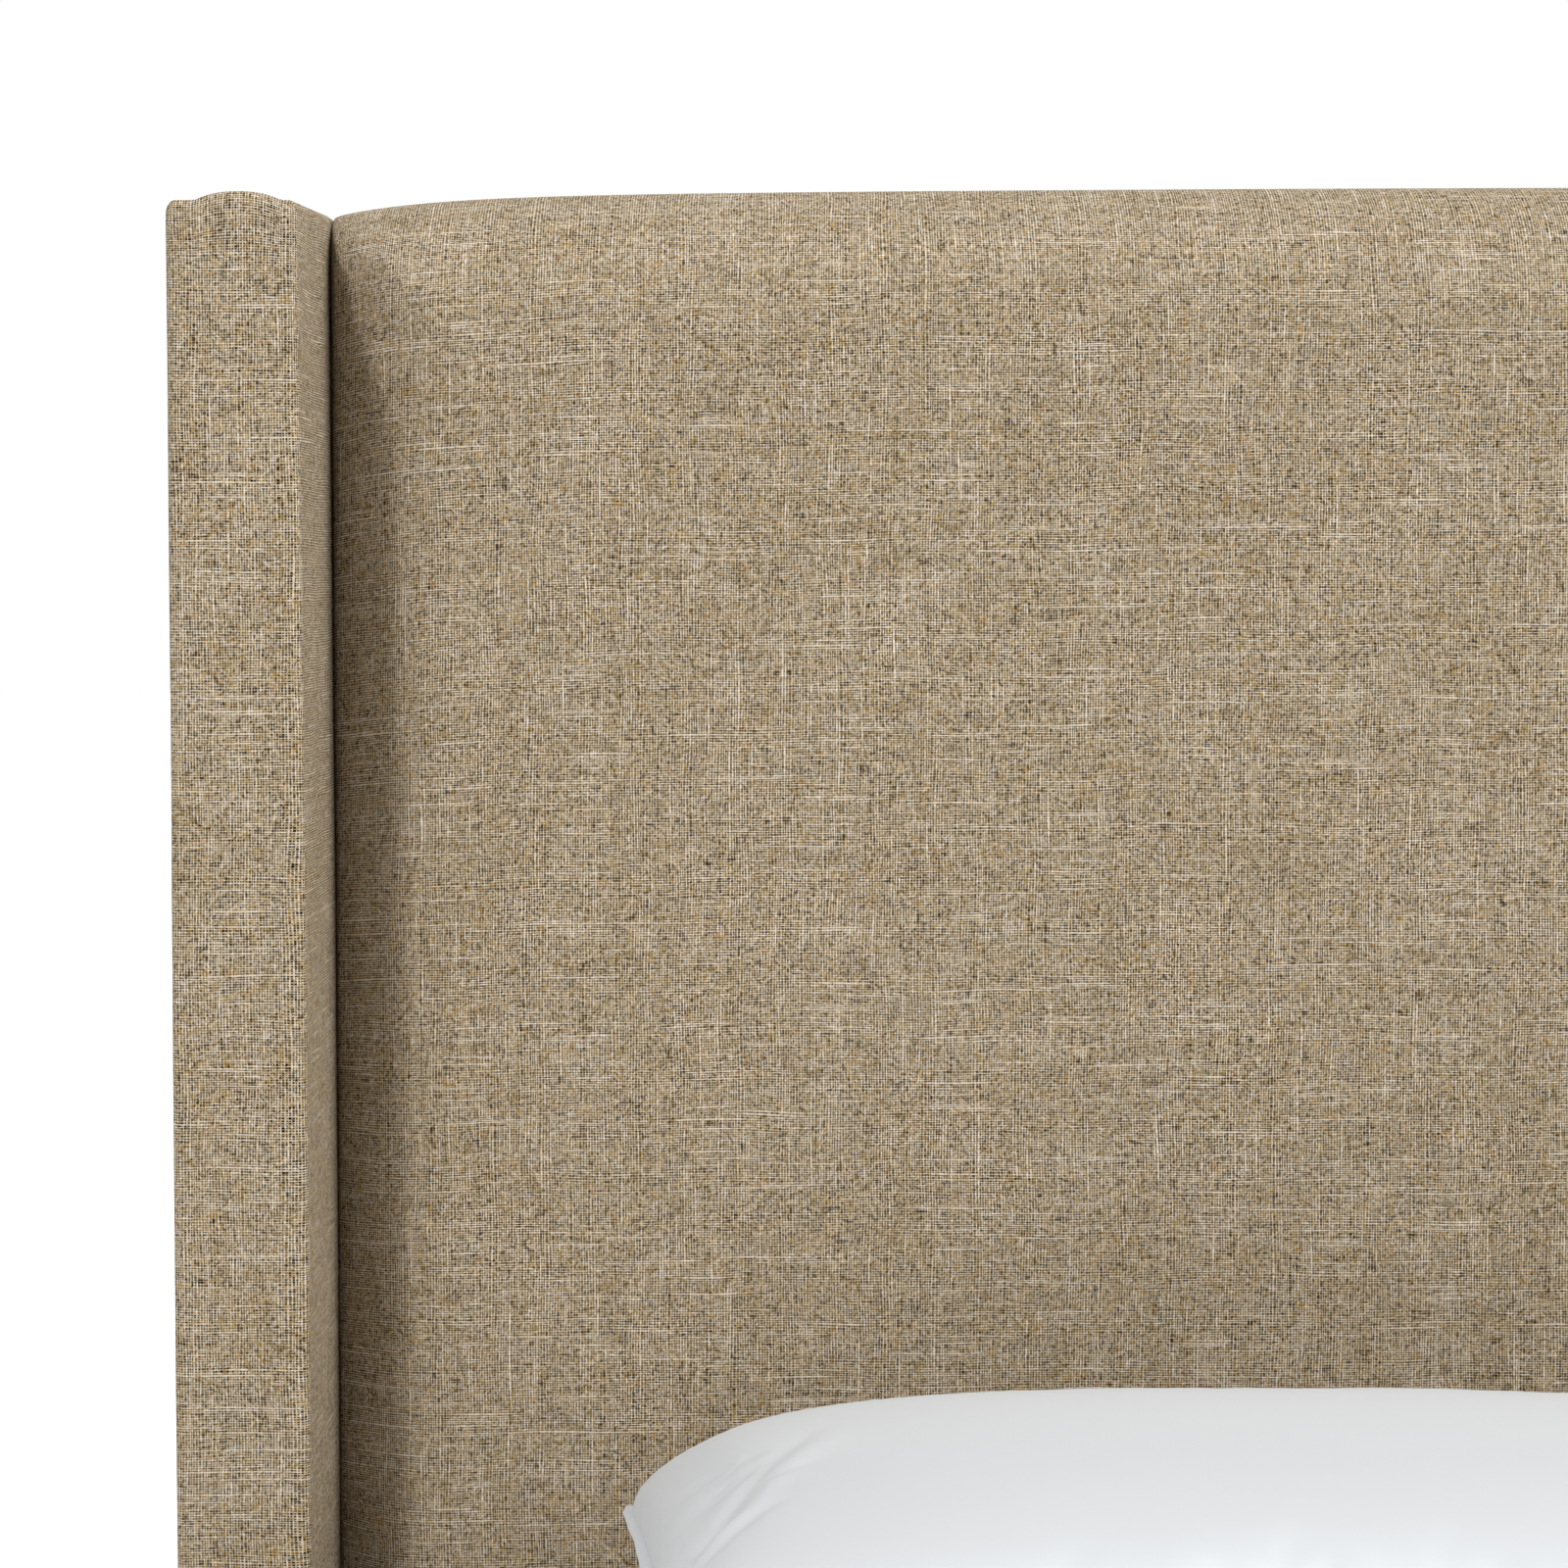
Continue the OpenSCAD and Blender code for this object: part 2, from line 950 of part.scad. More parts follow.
// webbing stapled under the slats, which keeps their spacing
module slat_straps() {
    foot_end_gap = 20;
    head_end_gap = 12;
    color("ivory")
        for (x = [-strap_x, strap_x])
            block([x - strap_w / 2, foot_y + foot_end_gap, deck_z - slat_t - strap_t],
                  [x + strap_w / 2, wing_y - head_end_gap, deck_z - slat_t]);
}

// ---- mattress and pillows ------------------------------------------------------------------------

module mattress_form(inset) {
    r = mattress_corner_r - inset;
    half_w = mattress_w / 2 - inset;
    y0 = mattress_y0 + inset;
    y1 = mattress_y0 + mattress_l - inset;
    translate([0, 0, deck_z + inset])
        linear_extrude(mattress_h - 2 * inset)
            union() {
                translate([-half_w, y0 + r])
                    square([2 * half_w, y1 - y0 - 2 * r]);
                translate([-half_w + r, y0])
                    square([2 * half_w - 2 * r, y1 - y0]);
                for (x = [-half_w + r, half_w - r], y = [y0 + r, y1 - r])
                    translate([x, y])
                        circle(r);
            }
}

module mattress_core() {
    color("khaki")
        mattress_form(ticking_t);
}

module mattress_cover() {
    color("white")
        difference() {
            mattress_form(0);
            mattress_form(ticking_t);
        }
}

// the overlap of two discs: a lens of the given half width and half height
module lens(half_w, half_h) {
    r = (half_w * half_w + half_h * half_h) / (2 * half_h);
    intersection() {
        translate([0, r - half_h])
            circle(r, $fn = 180);
        translate([0, half_h - r])
            circle(r, $fn = 180);
    }
}

// a filled pillow: domed both ways, thin at its rim and flat where it lies
module pillow_form(inset) {
    half_h = (pillow_h + pillow_sink) / 2 - inset;
    half_w = pillow_w / 2 - inset;
    half_d = pillow_d / 2 - inset;
    mid_z = mattress_top - pillow_sink + half_h + inset;
    translate([pillow_x, pillow_back - pillow_d / 2, 0])
        intersection() {
            block([-half_w, -half_d, mattress_top + inset], [half_w, half_d, headboard_h]);
            along_y(-half_d, half_d)
                translate([0, mid_z])
                    lens(half_w + pillow_rim, half_h);
            along_x(-half_w, half_w)
                translate([0, mid_z])
                    lens(half_d + pillow_rim, half_h);
        }
}

module pillow_filling(side) {
    color("whitesmoke")
        on_side(side)
            pillow_form(case_t);
}

module pillow_case(side) {
    color("white")
        on_side(side)
            difference() {
                pillow_form(0);
                pillow_form(case_t);
            }
}

// ---- the bed -------------------------------------------------------------------------------------

headboard_top_rail();
headboard_middle_rail();
headboard_deck_rail();
headboard_bottom_rail();
headboard_stile("left");  // headboard_left_stile
headboard_stile("right");  // headboard_right_stile
headboard_studs();
headboard_plywood();
headboard_pad();
headboard_cover();
headboard_dust_cover();
dust_cover_staples();
wing_front_stile("left");  // wing_left_front_stile
wing_front_stile("right");  // wing_right_front_stile
wing_back_stile("left");  // wing_left_back_stile
wing_back_stile("right");  // wing_right_back_stile
wing_rungs();
wing_skins();
wing_pad("left");  // wing_left_pad
wing_pad("right");  // wing_right_pad
wing_cover("left");  // wing_left_cover
wing_cover("right");  // wing_right_cover
wing_glides();
wing_bolts();
wing_tee_nuts();
side_rail_board("left");  // side_rail_left_board
side_rail_board("right");  // side_rail_right_board
side_rail_pad("left");  // side_rail_left_pad
side_rail_pad("right");  // side_rail_right_pad
side_rail_cover("left");  // side_rail_left_cover
side_rail_cover("right");  // side_rail_right_cover
side_rail_ledger("left");  // side_rail_left_ledger
side_rail_ledger("right");  // side_rail_right_ledger
ledger_screws();
foot_rail_board();
foot_rail_pad();
foot_rail_cover();
joining_plates();
corner_brackets();
bracket_screws();
corner_blocks();
foot_leg("left");  // foot_leg_left
foot_leg("right");  // foot_leg_right
leg_glides();
leg_bolts();
centre_beam();
beam_hangers();
hanger_screws();
centre_legs();
levelling_foot(1);  // levelling_foot_1
levelling_foot(2);  // levelling_foot_2
levelling_foot(3);  // levelling_foot_3
slats();
slat_straps();
mattress_core();
mattress_cover();
pillow_filling("left");  // pillow_left_filling
pillow_filling("right");  // pillow_right_filling
pillow_case("left");  // pillow_left_case
pillow_case("right");  // pillow_right_case
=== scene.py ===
"""Looks of the wingback bed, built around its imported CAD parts.

Metres, +Z up, +Y towards the head end. Every place comes from the frame's own boxes.
"""
import json
import math

import bmesh
import bpy
import numpy as np
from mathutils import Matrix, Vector, noise


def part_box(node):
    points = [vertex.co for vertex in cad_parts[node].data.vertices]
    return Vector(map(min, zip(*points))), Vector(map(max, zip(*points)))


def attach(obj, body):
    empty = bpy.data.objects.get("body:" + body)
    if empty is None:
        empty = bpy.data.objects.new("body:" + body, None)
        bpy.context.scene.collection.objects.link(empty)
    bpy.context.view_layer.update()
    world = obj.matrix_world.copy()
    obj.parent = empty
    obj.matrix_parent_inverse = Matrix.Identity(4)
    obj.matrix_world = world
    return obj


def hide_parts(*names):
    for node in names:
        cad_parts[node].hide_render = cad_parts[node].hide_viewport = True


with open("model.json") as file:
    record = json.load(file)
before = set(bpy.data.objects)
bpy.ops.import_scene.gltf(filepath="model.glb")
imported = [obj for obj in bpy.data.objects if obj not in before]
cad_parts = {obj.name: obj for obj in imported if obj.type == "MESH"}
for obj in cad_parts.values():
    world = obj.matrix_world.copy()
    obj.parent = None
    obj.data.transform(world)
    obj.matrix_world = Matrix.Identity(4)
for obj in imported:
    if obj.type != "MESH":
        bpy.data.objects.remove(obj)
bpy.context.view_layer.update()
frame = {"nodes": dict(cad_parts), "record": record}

MM = 0.001
SIDES = ("left", "right")
CLOTH_UV = "cloth"


# ---- meshes --------------------------------------------------------------------------------------

class Patches:
    """Grids of points with cloth coordinates, which are welded into one smooth mesh."""

    def __init__(self):
        self.points = []
        self.cloth = []
        self.faces = []

    def grid(self, points, cloth):
        """Adds a grid of points, rows by columns by 3, whose cloth coordinates are in metres."""
        rows, columns = points.shape[:2]
        start = len(self.points)
        self.points.extend(points.reshape(-1, 3).tolist())
        self.cloth.extend(cloth.reshape(-1, 2).tolist())
        for i in range(rows - 1):
            for j in range(columns - 1):
                a = start + i * columns + j
                self.faces.append((a, a + 1, a + columns + 1, a + columns))

    def cap(self, points, cloth):
        """Adds one flat face round the given points."""
        start = len(self.points)
        self.points.extend(points.tolist())
        self.cloth.extend(cloth.tolist())
        self.faces.append(tuple(range(start, start + len(points))))

    def build(self, name, move=None):
        """The welded object. move, if given, takes and returns all the points as an array."""
        mesh = bpy.data.meshes.new(name)
        mesh.from_pydata(self.points, [], self.faces)
        layer = mesh.uv_layers.new(name=CLOTH_UV)
        loops = np.zeros(len(mesh.loops), np.int32)
        mesh.loops.foreach_get("vertex_index", loops)
        layer.data.foreach_set("uv", np.array(self.cloth, np.float32)[loops].ravel())
        obj = bpy.data.objects.new(name, mesh)
        bpy.context.scene.collection.objects.link(obj)
        shape = bmesh.new()
        shape.from_mesh(mesh)
        bmesh.ops.remove_doubles(shape, verts=shape.verts, dist=0.02 * MM)
        bmesh.ops.dissolve_degenerate(shape, edges=shape.edges, dist=0.01 * MM)
        bmesh.ops.recalc_face_normals(shape, faces=shape.faces)
        shape.to_mesh(mesh)
        shape.free()
        if move is not None:
            move_points(obj, move)
        for polygon in mesh.polygons:
            polygon.use_smooth = True
        return obj


def read_points(obj):
    """The object's own points as an array."""
    points = np.zeros(len(obj.data.vertices) * 3, np.float32)
    obj.data.vertices.foreach_get("co", points)
    return points.reshape(-1, 3).astype(float)


def move_points(obj, move):
    """Puts each point where move says."""
    obj.data.vertices.foreach_set("co", move(read_points(obj)).astype(np.float32).ravel())
    obj.data.update()


def smoothstep(low, high, x):
    """0 below low, 1 above high and smooth between them, whichever of the two is larger."""
    t = np.clip((x - low) / (high - low), 0, 1)
    return t * t * (3 - 2 * t)


def waves(points, size, seed):
    """Smooth noise between -1 and 1 for each point, with bumps about size across."""
    offset = Vector((seed * 7.3, seed * 3.1, seed * 5.7))
    return np.array([noise.noise(Vector(p) / size + offset) for p in points])


def edge_samples(length, radius, step, edge_steps=5):
    """Positions along a side that ends in two round edges, and the cloth length up to each."""
    angles = np.linspace(math.pi / 4, 0, edge_steps + 1)
    start = radius - radius * np.tan(angles)
    start_cloth = radius * (math.pi / 4 - angles)
    flat = length - 2 * radius
    count = max(2, int(round(flat / step)))
    middle = radius + flat * np.arange(1, count) / count
    shift = radius * (math.pi / 4 - 1)
    places = np.concatenate([start, middle, length - start[::-1]])
    total = length + 2 * shift
    cloth = np.concatenate([start_cloth, middle + shift, total - start_cloth[::-1]])
    return places, cloth


def soft_box(name, low, high, radii, step, move=None):
    """A box with round edges, whose cloth runs round its upright sides and on over its top.

    radii and step hold a number for each axis. A move takes all the points and returns them.
    """
    low, high, radii = np.array(low), np.array(high), np.array(radii)
    samples = [edge_samples(high[i] - low[i], radii[i], step[i]) for i in range(3)]
    widths = [cloth[-1] for _, cloth in samples]
    patches = Patches()

    def rounded(points):
        core = np.clip(points, low + radii, high - radii)
        out = (points - core) / radii
        return core + out / np.linalg.norm(out, axis=-1, keepdims=True) * radii

    def side(axes, fixed_axis, fixed_value, cloth_of):
        (a, cloth_a), (b, cloth_b) = samples[axes[0]], samples[axes[1]]
        points = np.zeros((len(b), len(a), 3))
        points[..., axes[0]] = low[axes[0]] + a[None, :]
        points[..., axes[1]] = low[axes[1]] + b[:, None]
        points[..., fixed_axis] = fixed_value
        grid_a, grid_b = np.meshgrid(cloth_a, cloth_b)
        patches.grid(rounded(points), np.stack(cloth_of(grid_a, grid_b), axis=-1))

    around = 2 * (widths[0] + widths[1])
    side((0, 2), 1, low[1], lambda a, b: (a, b))
    side((1, 2), 0, high[0], lambda a, b: (widths[0] + a, b))
    side((0, 2), 1, high[1], lambda a, b: (around - widths[1] - a, b))
    side((1, 2), 0, low[0], lambda a, b: (-a, b))
    side((0, 1), 2, high[2], lambda a, b: (a, widths[2] + b))
    side((0, 1), 2, low[2], lambda a, b: (a, -b))
    return patches.build(name, move)


def round_loop(low, high, radius, steps=12):
    """Points round a flat rectangle with round corners, anticlockwise from its right side."""
    corners = ((high[0], low[1]), (high[0], high[1]), (low[0], high[1]), (low[0], low[1]))
    points = []
    for corner, (x, y) in enumerate(corners):
        centre_x = x - radius if x == high[0] else x + radius
        centre_y = y - radius if y == high[1] else y + radius
        for k in range(steps + 1):
            angle = math.radians(90 * (corner - 1) + 90 * k / steps)
            points.append((centre_x + radius * math.cos(angle), centre_y + radius * math.sin(angle)))
    return points


def tube_loop(name, points, radius, sides=10):
    """A closed tube along a closed line of points in one level plane."""
    line = np.array(points)
    ahead = np.roll(line, -1, axis=0) - np.roll(line, 1, axis=0)
    ahead /= np.linalg.norm(ahead, axis=1, keepdims=True)
    out = np.stack([ahead[:, 1], -ahead[:, 0], np.zeros(len(line))], axis=1)
    rings = []
    for k in range(sides + 1):
        angle = 2 * math.pi * k / sides
        rings.append(line + radius * (math.cos(angle) * out + math.sin(angle) * np.array([0, 0, 1])))
    grid = np.stack(rings, axis=0)
    grid = np.concatenate([grid, grid[:, :1]], axis=1)
    steps = np.linalg.norm(np.diff(np.vstack([line, line[:1]]), axis=0), axis=1)
    run = np.concatenate([[0], np.cumsum(steps)])
    round_it = np.arange(sides + 1) * 2 * math.pi * radius / sides
    cloth = np.stack(np.meshgrid(run, round_it), axis=-1)
    patches = Patches()
    patches.grid(grid, cloth)
    return patches.build(name)


# ---- materials -----------------------------------------------------------------------------------

class Shader:
    """A procedural material, with short ways to add its nodes."""

    def __init__(self, name, roughness=0.8, **sockets):
        self.material = bpy.data.materials.new(name)
        self.material.use_nodes = True
        self.tree = self.material.node_tree
        self.surface = self.tree.nodes["Principled BSDF"]
        self.surface.inputs["Roughness"].default_value = roughness
        for socket, value in sockets.items():
            self.surface.inputs[socket.replace("_", " ")].default_value = value

    def node(self, kind, inputs=(), **settings):
        """A new node with its inputs set or linked, and its other settings."""
        made = self.tree.nodes.new(kind)
        for key, value in settings.items():
            setattr(made, key, value)
        for key, value in dict(inputs).items():
            self.set(made.inputs[key], value)
        return made

    def set(self, socket, value):
        """Links a socket to another, or gives it a value."""
        if isinstance(value, bpy.types.NodeSocket):
            self.tree.links.new(value, socket)
        else:
            socket.default_value = value

    def math(self, operation, *values):
        """One sum, product or other operation on sockets or numbers."""
        made = self.node("ShaderNodeMath", operation=operation)
        for socket, value in zip(made.inputs, values):
            self.set(socket, value)
        return made.outputs[0]

    def vector(self, x=0.0, y=0.0, z=0.0):
        """Three sockets or numbers as one vector."""
        return self.node("ShaderNodeCombineXYZ", {"X": x, "Y": y, "Z": z}).outputs[0]

    def split(self, vector):
        """The three parts of a vector."""
        return self.node("ShaderNodeSeparateXYZ", {"Vector": vector}).outputs

    def noise(self, vector, scale=1.0, detail=0.0):
        """Smooth noise between 0 and 1, with about scale bumps to the metre."""
        made = self.node("ShaderNodeTexNoise", {"Vector": vector, "Scale": scale, "Detail": detail})
        return made.outputs["Fac"]

    def random(self, vector):
        """A separate random number for each whole vector."""
        return self.node("ShaderNodeTexWhiteNoise", {"Vector": vector}).outputs["Value"]

    def spread(self, value, width):
        """Noise between 0 and 1 brought to both sides of zero, with the given whole width."""
        return self.math("MULTIPLY", self.math("SUBTRACT", value, 0.5), width)

    def step(self, value, low, high):
        """0 below low, 1 above high and smooth between them."""
        made = self.node("ShaderNodeMapRange", {"Value": value, "From Min": low, "From Max": high},
                         interpolation_type="SMOOTHSTEP")
        return made.outputs["Result"]

    def mix(self, factor, a, b):
        """Colour a where the factor is 0 and colour b where it is 1."""
        made = self.node("ShaderNodeMix", data_type="RGBA")
        self.set(made.inputs["Factor"], factor)
        self.set(made.inputs["A"], a)
        self.set(made.inputs["B"], b)
        return made.outputs["Result"]

    def ramp(self, factor, stops):
        """The colour that the stops, each a place and a colour, give for the factor."""
        made = self.node("ShaderNodeValToRGB", {"Fac": factor})
        elements = made.color_ramp.elements
        while len(elements) < len(stops):
            elements.new(0.5)
        for element, (place, colour) in zip(elements, stops):
            element.position = place
            element.color = (*colour, 1)
        return made.outputs["Color"]

    def cloth(self):
        """The two cloth coordinates, in metres."""
        return self.split(self.node("ShaderNodeUVMap", uv_map=CLOTH_UV).outputs["UV"])[:2]

    def place(self):
        """The point in the bed's own frame, in metres."""
        return self.node("ShaderNodeTexCoord").outputs["Object"]

    def bump(self, height, depth, strength):
        """Raises the surface by depth, in metres, where the height is 1."""
        made = self.node("ShaderNodeBump", {"Height": height, "Distance": depth, "Strength": strength})
        self.set(self.surface.inputs["Normal"], made.outputs["Normal"])

    def colour(self, value):
        """Links the surface's colour."""
        self.set(self.surface.inputs["Base Color"], value)


def rgb(red, green, blue):
    """A colour as the shader's sockets take it."""
    return (red, green, blue, 1)


def thread_numbers(s, place, run, pitch, spacing, seed):
    """Thread numbers along place, for threads that lie unevenly spaced and bend a little on their run.

    spacing is how far, in metres, a thread may lie from its even place.
    """
    bend_scale, bend_width = 14, 3 * MM
    gap_scale, gap_run = 190, 0.06
    bend = s.spread(s.noise(s.vector(place, run, seed), bend_scale, 1), bend_width)
    gap_place = s.vector(place, s.math("MULTIPLY", run, gap_run), seed + 9)
    gaps = s.spread(s.noise(gap_place, gap_scale, 1), spacing)
    return s.math("DIVIDE", s.math("ADD", place, s.math("ADD", bend, gaps)), pitch)


def threads(s, number, run, seed, slub_light, slub_gold):
    """How wide, light and golden the threads are that lie at number, along their run.

    A slub is a long thick stretch of a thread. Each property has its own noise, which differs from
    thread to thread by its stride and runs along a thread by its scale.
    """
    index = s.math("FLOOR", number)

    def varied(stride, scale, offset, detail=1):
        place = s.vector(s.math("MULTIPLY", index, stride), s.math("MULTIPLY", run, scale), seed + offset)
        return s.noise(place, 1, detail)

    slub = s.step(varied(7.9, 0.022, 17, 0), 0.65, 0.77)
    round_top = s.math("ABSOLUTE", s.math("SINE", s.math("MULTIPLY", number, math.pi)))
    width = s.math("ADD", s.spread(varied(3.7, 0.2, 0), 0.4), s.math("MULTIPLY", slub, 0.2))
    crossing = s.random(s.vector(index, s.math("FLOOR", run), seed))
    light = s.math("ADD", s.spread(varied(5.3, 0.06, 9), 0.55), s.spread(crossing, 0.5))
    light = s.math("ADD", light, s.math("MULTIPLY", slub, slub_light))
    gold = s.step(varied(6.1, 0.45, 25), 0.58, 0.72)
    gold = s.math("MAXIMUM", gold, s.math("MULTIPLY", slub, slub_gold))
    return s.math("ADD", round_top, width), light, gold


def linen_shade(s, u, v):
    """Long streaks both ways and wide, weak patches, about zero."""
    streak_run, patch_scale = 0.07, 16
    level = s.noise(s.vector(s.math("MULTIPLY", u, streak_run), v, 61), 130, 2)
    upright = s.noise(s.vector(u, s.math("MULTIPLY", v, streak_run), 67), 120, 2)
    streaks = s.math("ADD", s.spread(level, 0.20), s.spread(upright, 0.14))
    return s.math("ADD", streaks, s.spread(s.noise(s.vector(u, v), patch_scale, 2), 0.09))


def linen():
    """Oatmeal linen: an open plain weave of uneven threads, with slubs, flecks, a few knots and painted
    shade in the gaps between its threads.
    """
    warp_pitch, weft_pitch = 1.4 * MM, 1.25 * MM
    gold_tone, knot_tone = rgb(0.24, 0.145, 0.03), rgb(0.045, 0.026, 0.010)
    s = Shader("linen", roughness=0.95)
    s.surface.inputs["Specular IOR Level"].default_value = 0.04
    u, v = s.cloth()
    across = thread_numbers(s, u, v, warp_pitch, 2.4 * MM, 1)
    along = thread_numbers(s, v, u, weft_pitch, 1.8 * MM, 3)
    warp_edge, warp_light, warp_gold = threads(s, across, along, 1.0, 0.06, 0.0)
    weft_edge, weft_light, weft_gold = threads(s, along, across, 5.0, 0.30, 0.28)
    warp_on_top = s.math("GREATER_THAN", warp_edge, weft_edge)

    def upper(weft, warp):
        """The value of the thread that lies on top."""
        return s.node("ShaderNodeMix", {"Factor": warp_on_top, "A": weft, "B": warp}).outputs["Result"]

    def by_gap(seed):
        """A random number for each gap between threads."""
        return s.random(s.vector(s.math("ROUND", across), s.math("ROUND", along), seed))

    shade = s.math("ADD", upper(weft_light, warp_light), linen_shade(s, u, v))
    yarn = s.ramp(s.math("ADD", shade, 0.5), [
        (0.05, (0.21, 0.145, 0.055)),
        (0.35, (0.37, 0.295, 0.19)),
        (0.60, (0.51, 0.44, 0.34)),
        (0.95, (0.68, 0.62, 0.55)),
    ])
    yarn = s.mix(s.math("MULTIPLY", upper(weft_gold, warp_gold), 0.75), yarn, gold_tone)
    # Painted shade between the threads: where they leave a gap and towards each thread's edges, the
    # colour goes near-black to brown, darker in clusters, standing for the padding behind the weave in
    # shadow.
    clusters = s.spread(s.noise(s.vector(u, v), 90, 1), 0.85)
    painted_gap_shade = s.ramp(s.math("ADD", by_gap(47.0), clusters), [
        (0.40, (0.006, 0.002, 0.0)),
        (0.66, (0.040, 0.017, 0.0)),
        (0.87, (0.19, 0.10, 0.004)),
    ])
    cover = s.math("ADD", s.math("MAXIMUM", warp_edge, weft_edge), s.spread(by_gap(31.0), 0.24))
    fabric = s.mix(s.step(cover, 0.74, 0.93), painted_gap_shade, yarn)
    knot_place = s.vector(s.math("MULTIPLY", u, 160), s.math("MULTIPLY", v, 230), 51)
    knot = s.step(s.noise(knot_place, 1, 2), 0.765, 0.80)
    s.colour(s.mix(knot, fabric, knot_tone))
    s.bump(cover, 0.25 * MM, 0.5)
    return s.material


def cotton(name, tone, weave=0.35 * MM):
    """A fine, even plain weave, a little clouded. weave is the width of one thread."""
    cloud_scale, dulled = 14, 0.97
    s = Shader(name, roughness=0.85, Sheen_Weight=0.2, Sheen_Roughness=0.4)
    x, y, z = s.split(s.place())
    across = s.math("SINE", s.math("MULTIPLY", x, math.pi / weave))
    along = s.math("SINE", s.math("MULTIPLY", s.math("ADD", y, z), math.pi / weave))
    cloud = s.noise(s.place(), cloud_scale, 2)
    s.colour(s.mix(cloud, rgb(*(part * dulled for part in tone)), rgb(*tone)))
    s.bump(s.math("MULTIPLY", across, along), 0.05 * MM, 0.4)
    return s.material


def ticking():
    """Knitted mattress ticking with a faint ring pattern."""
    cells, rings_each, knit_scale = 38.0, 16, 1400
    s = Shader("ticking", roughness=0.85, Sheen_Weight=0.2, Sheen_Roughness=0.4)
    place = s.place()
    cell = s.node("ShaderNodeTexVoronoi", {"Vector": place, "Scale": cells}, feature="F1")
    ring = s.math("SINE", s.math("MULTIPLY", cell.outputs["Distance"], rings_each))
    ring = s.step(ring, 0.2, 0.8)
    knit = s.noise(place, knit_scale, 1)
    s.colour(s.mix(ring, rgb(0.55, 0.55, 0.545), rgb(0.60, 0.60, 0.595)))
    s.bump(s.math("ADD", s.math("MULTIPLY", ring, 0.7), s.math("MULTIPLY", knit, 0.3)), 0.4 * MM, 0.35)
    return s.material


def webbing():
    """Flat woven webbing with a rib across it."""
    rib_width, thread_width = 1.2 * MM, 0.8 * MM
    s = Shader("webbing", roughness=0.9)
    x, y, _ = s.split(s.place())
    rib = s.math("SINE", s.math("MULTIPLY", y, math.pi / rib_width))
    thread = s.math("SINE", s.math("MULTIPLY", x, math.pi / thread_width))
    height = s.math("MULTIPLY", rib, thread)
    s.colour(s.mix(s.step(height, -0.8, 0.8), rgb(0.42, 0.40, 0.36), rgb(0.72, 0.70, 0.65)))
    s.bump(height, 0.2 * MM, 0.7)
    return s.material


def dust_cloth():
    """Thin black non-woven cloth with a pressed dot pattern."""
    dot_turn = 1800
    s = Shader("dust_cloth", roughness=0.95)
    x, _, z = s.split(s.place())
    across, up = [s.math("SINE", s.math("MULTIPLY", part, dot_turn)) for part in (x, z)]
    dots = s.math("MULTIPLY", across, up)
    fibre = s.noise(s.place(), 260, 4)
    s.colour(s.mix(fibre, rgb(0.018, 0.018, 0.02), rgb(0.055, 0.055, 0.06)))
    s.bump(s.math("ADD", dots, s.math("MULTIPLY", fibre, 2)), 0.15 * MM, 0.6)
    return s.material


def wood(name, axis, light, dark, rings=90.0, roughness=0.65):
    """Sawn or turned wood whose grain runs along one axis of the bed.

    rings is how fast the bands follow each other across the grain.
    """
    stretch, waver = 0.06, 9
    s = Shader(name, roughness=roughness)
    parts = list(s.split(s.place()))
    stretched = [s.math("MULTIPLY", part, stretch if i == axis else 1.0) for i, part in enumerate(parts)]
    grain_place = s.vector(*stretched)
    bend = s.noise(grain_place, 9, 2)
    cross = [parts[i] for i in range(3) if i != axis]
    even = s.math("MULTIPLY", s.math("ADD", cross[0], cross[1]), rings)
    band = s.math("ADD", s.math("MULTIPLY", bend, waver), even)
    ring = s.step(s.math("SINE", band), -0.4, 1.0)
    pore = s.noise(grain_place, 700, 2)
    tone = s.math("ADD", s.math("MULTIPLY", ring, 0.65), s.math("MULTIPLY", pore, 0.35))
    s.colour(s.mix(tone, rgb(*light), rgb(*dark)))
    s.bump(pore, 0.15 * MM, 0.4)
    return s.material


def hardboard():
    """Brown pressed fibre board."""
    s = Shader("hardboard", roughness=0.6)
    fibre = s.noise(s.place(), 500, 4)
    s.colour(s.mix(fibre, rgb(0.12, 0.06, 0.03), rgb(0.30, 0.17, 0.09)))
    s.bump(fibre, 0.1 * MM, 0.5)
    return s.material


def steel():
    """Zinc-plated steel with faint mottling."""
    s = Shader("zinc_steel", roughness=0.38, Metallic=1.0)
    mottle = s.noise(s.place(), 160, 3)
    s.colour(s.mix(mottle, rgb(0.46, 0.47, 0.49), rgb(0.66, 0.67, 0.68)))
    s.bump(s.noise(s.place(), 2500, 1), 0.03 * MM, 0.4)
    return s.material


def plastic():
    """Moulded black plastic with a fine texture."""
    s = Shader("black_plastic", roughness=0.5)
    grain = s.noise(s.place(), 900, 2)
    s.colour(s.mix(grain, rgb(0.012, 0.012, 0.013), rgb(0.03, 0.03, 0.032)))
    s.bump(grain, 0.06 * MM, 0.5)
    return s.material


LINEN = linen()
COTTON = cotton("pillow_cotton", (0.575, 0.593, 0.612))
TICKING = ticking()
TAPE = cotton("edge_tape", (0.42, 0.43, 0.45), 0.8 * MM)
PINE_LIGHT, PINE_DARK = (0.70, 0.50, 0.29), (0.47, 0.27, 0.12)
PINE = [wood(f"pine_along_{'xyz'[axis]}", axis, PINE_LIGHT, PINE_DARK) for axis in range(3)]
PLYWOOD = wood("plywood", 0, (0.62, 0.44, 0.26), (0.44, 0.28, 0.15), rings=40)
LEG_WOOD = wood("stained_leg", 2, (0.115, 0.055, 0.026), (0.045, 0.020, 0.010), rings=160, roughness=0.4)
STEEL = steel()


def finish(obj, material):
    """Gives a piece its material."""
    obj.data.materials.clear()
    obj.data.materials.append(material)


# ---- upholstery ----------------------------------------------------------------------------------

BODY = "bed"


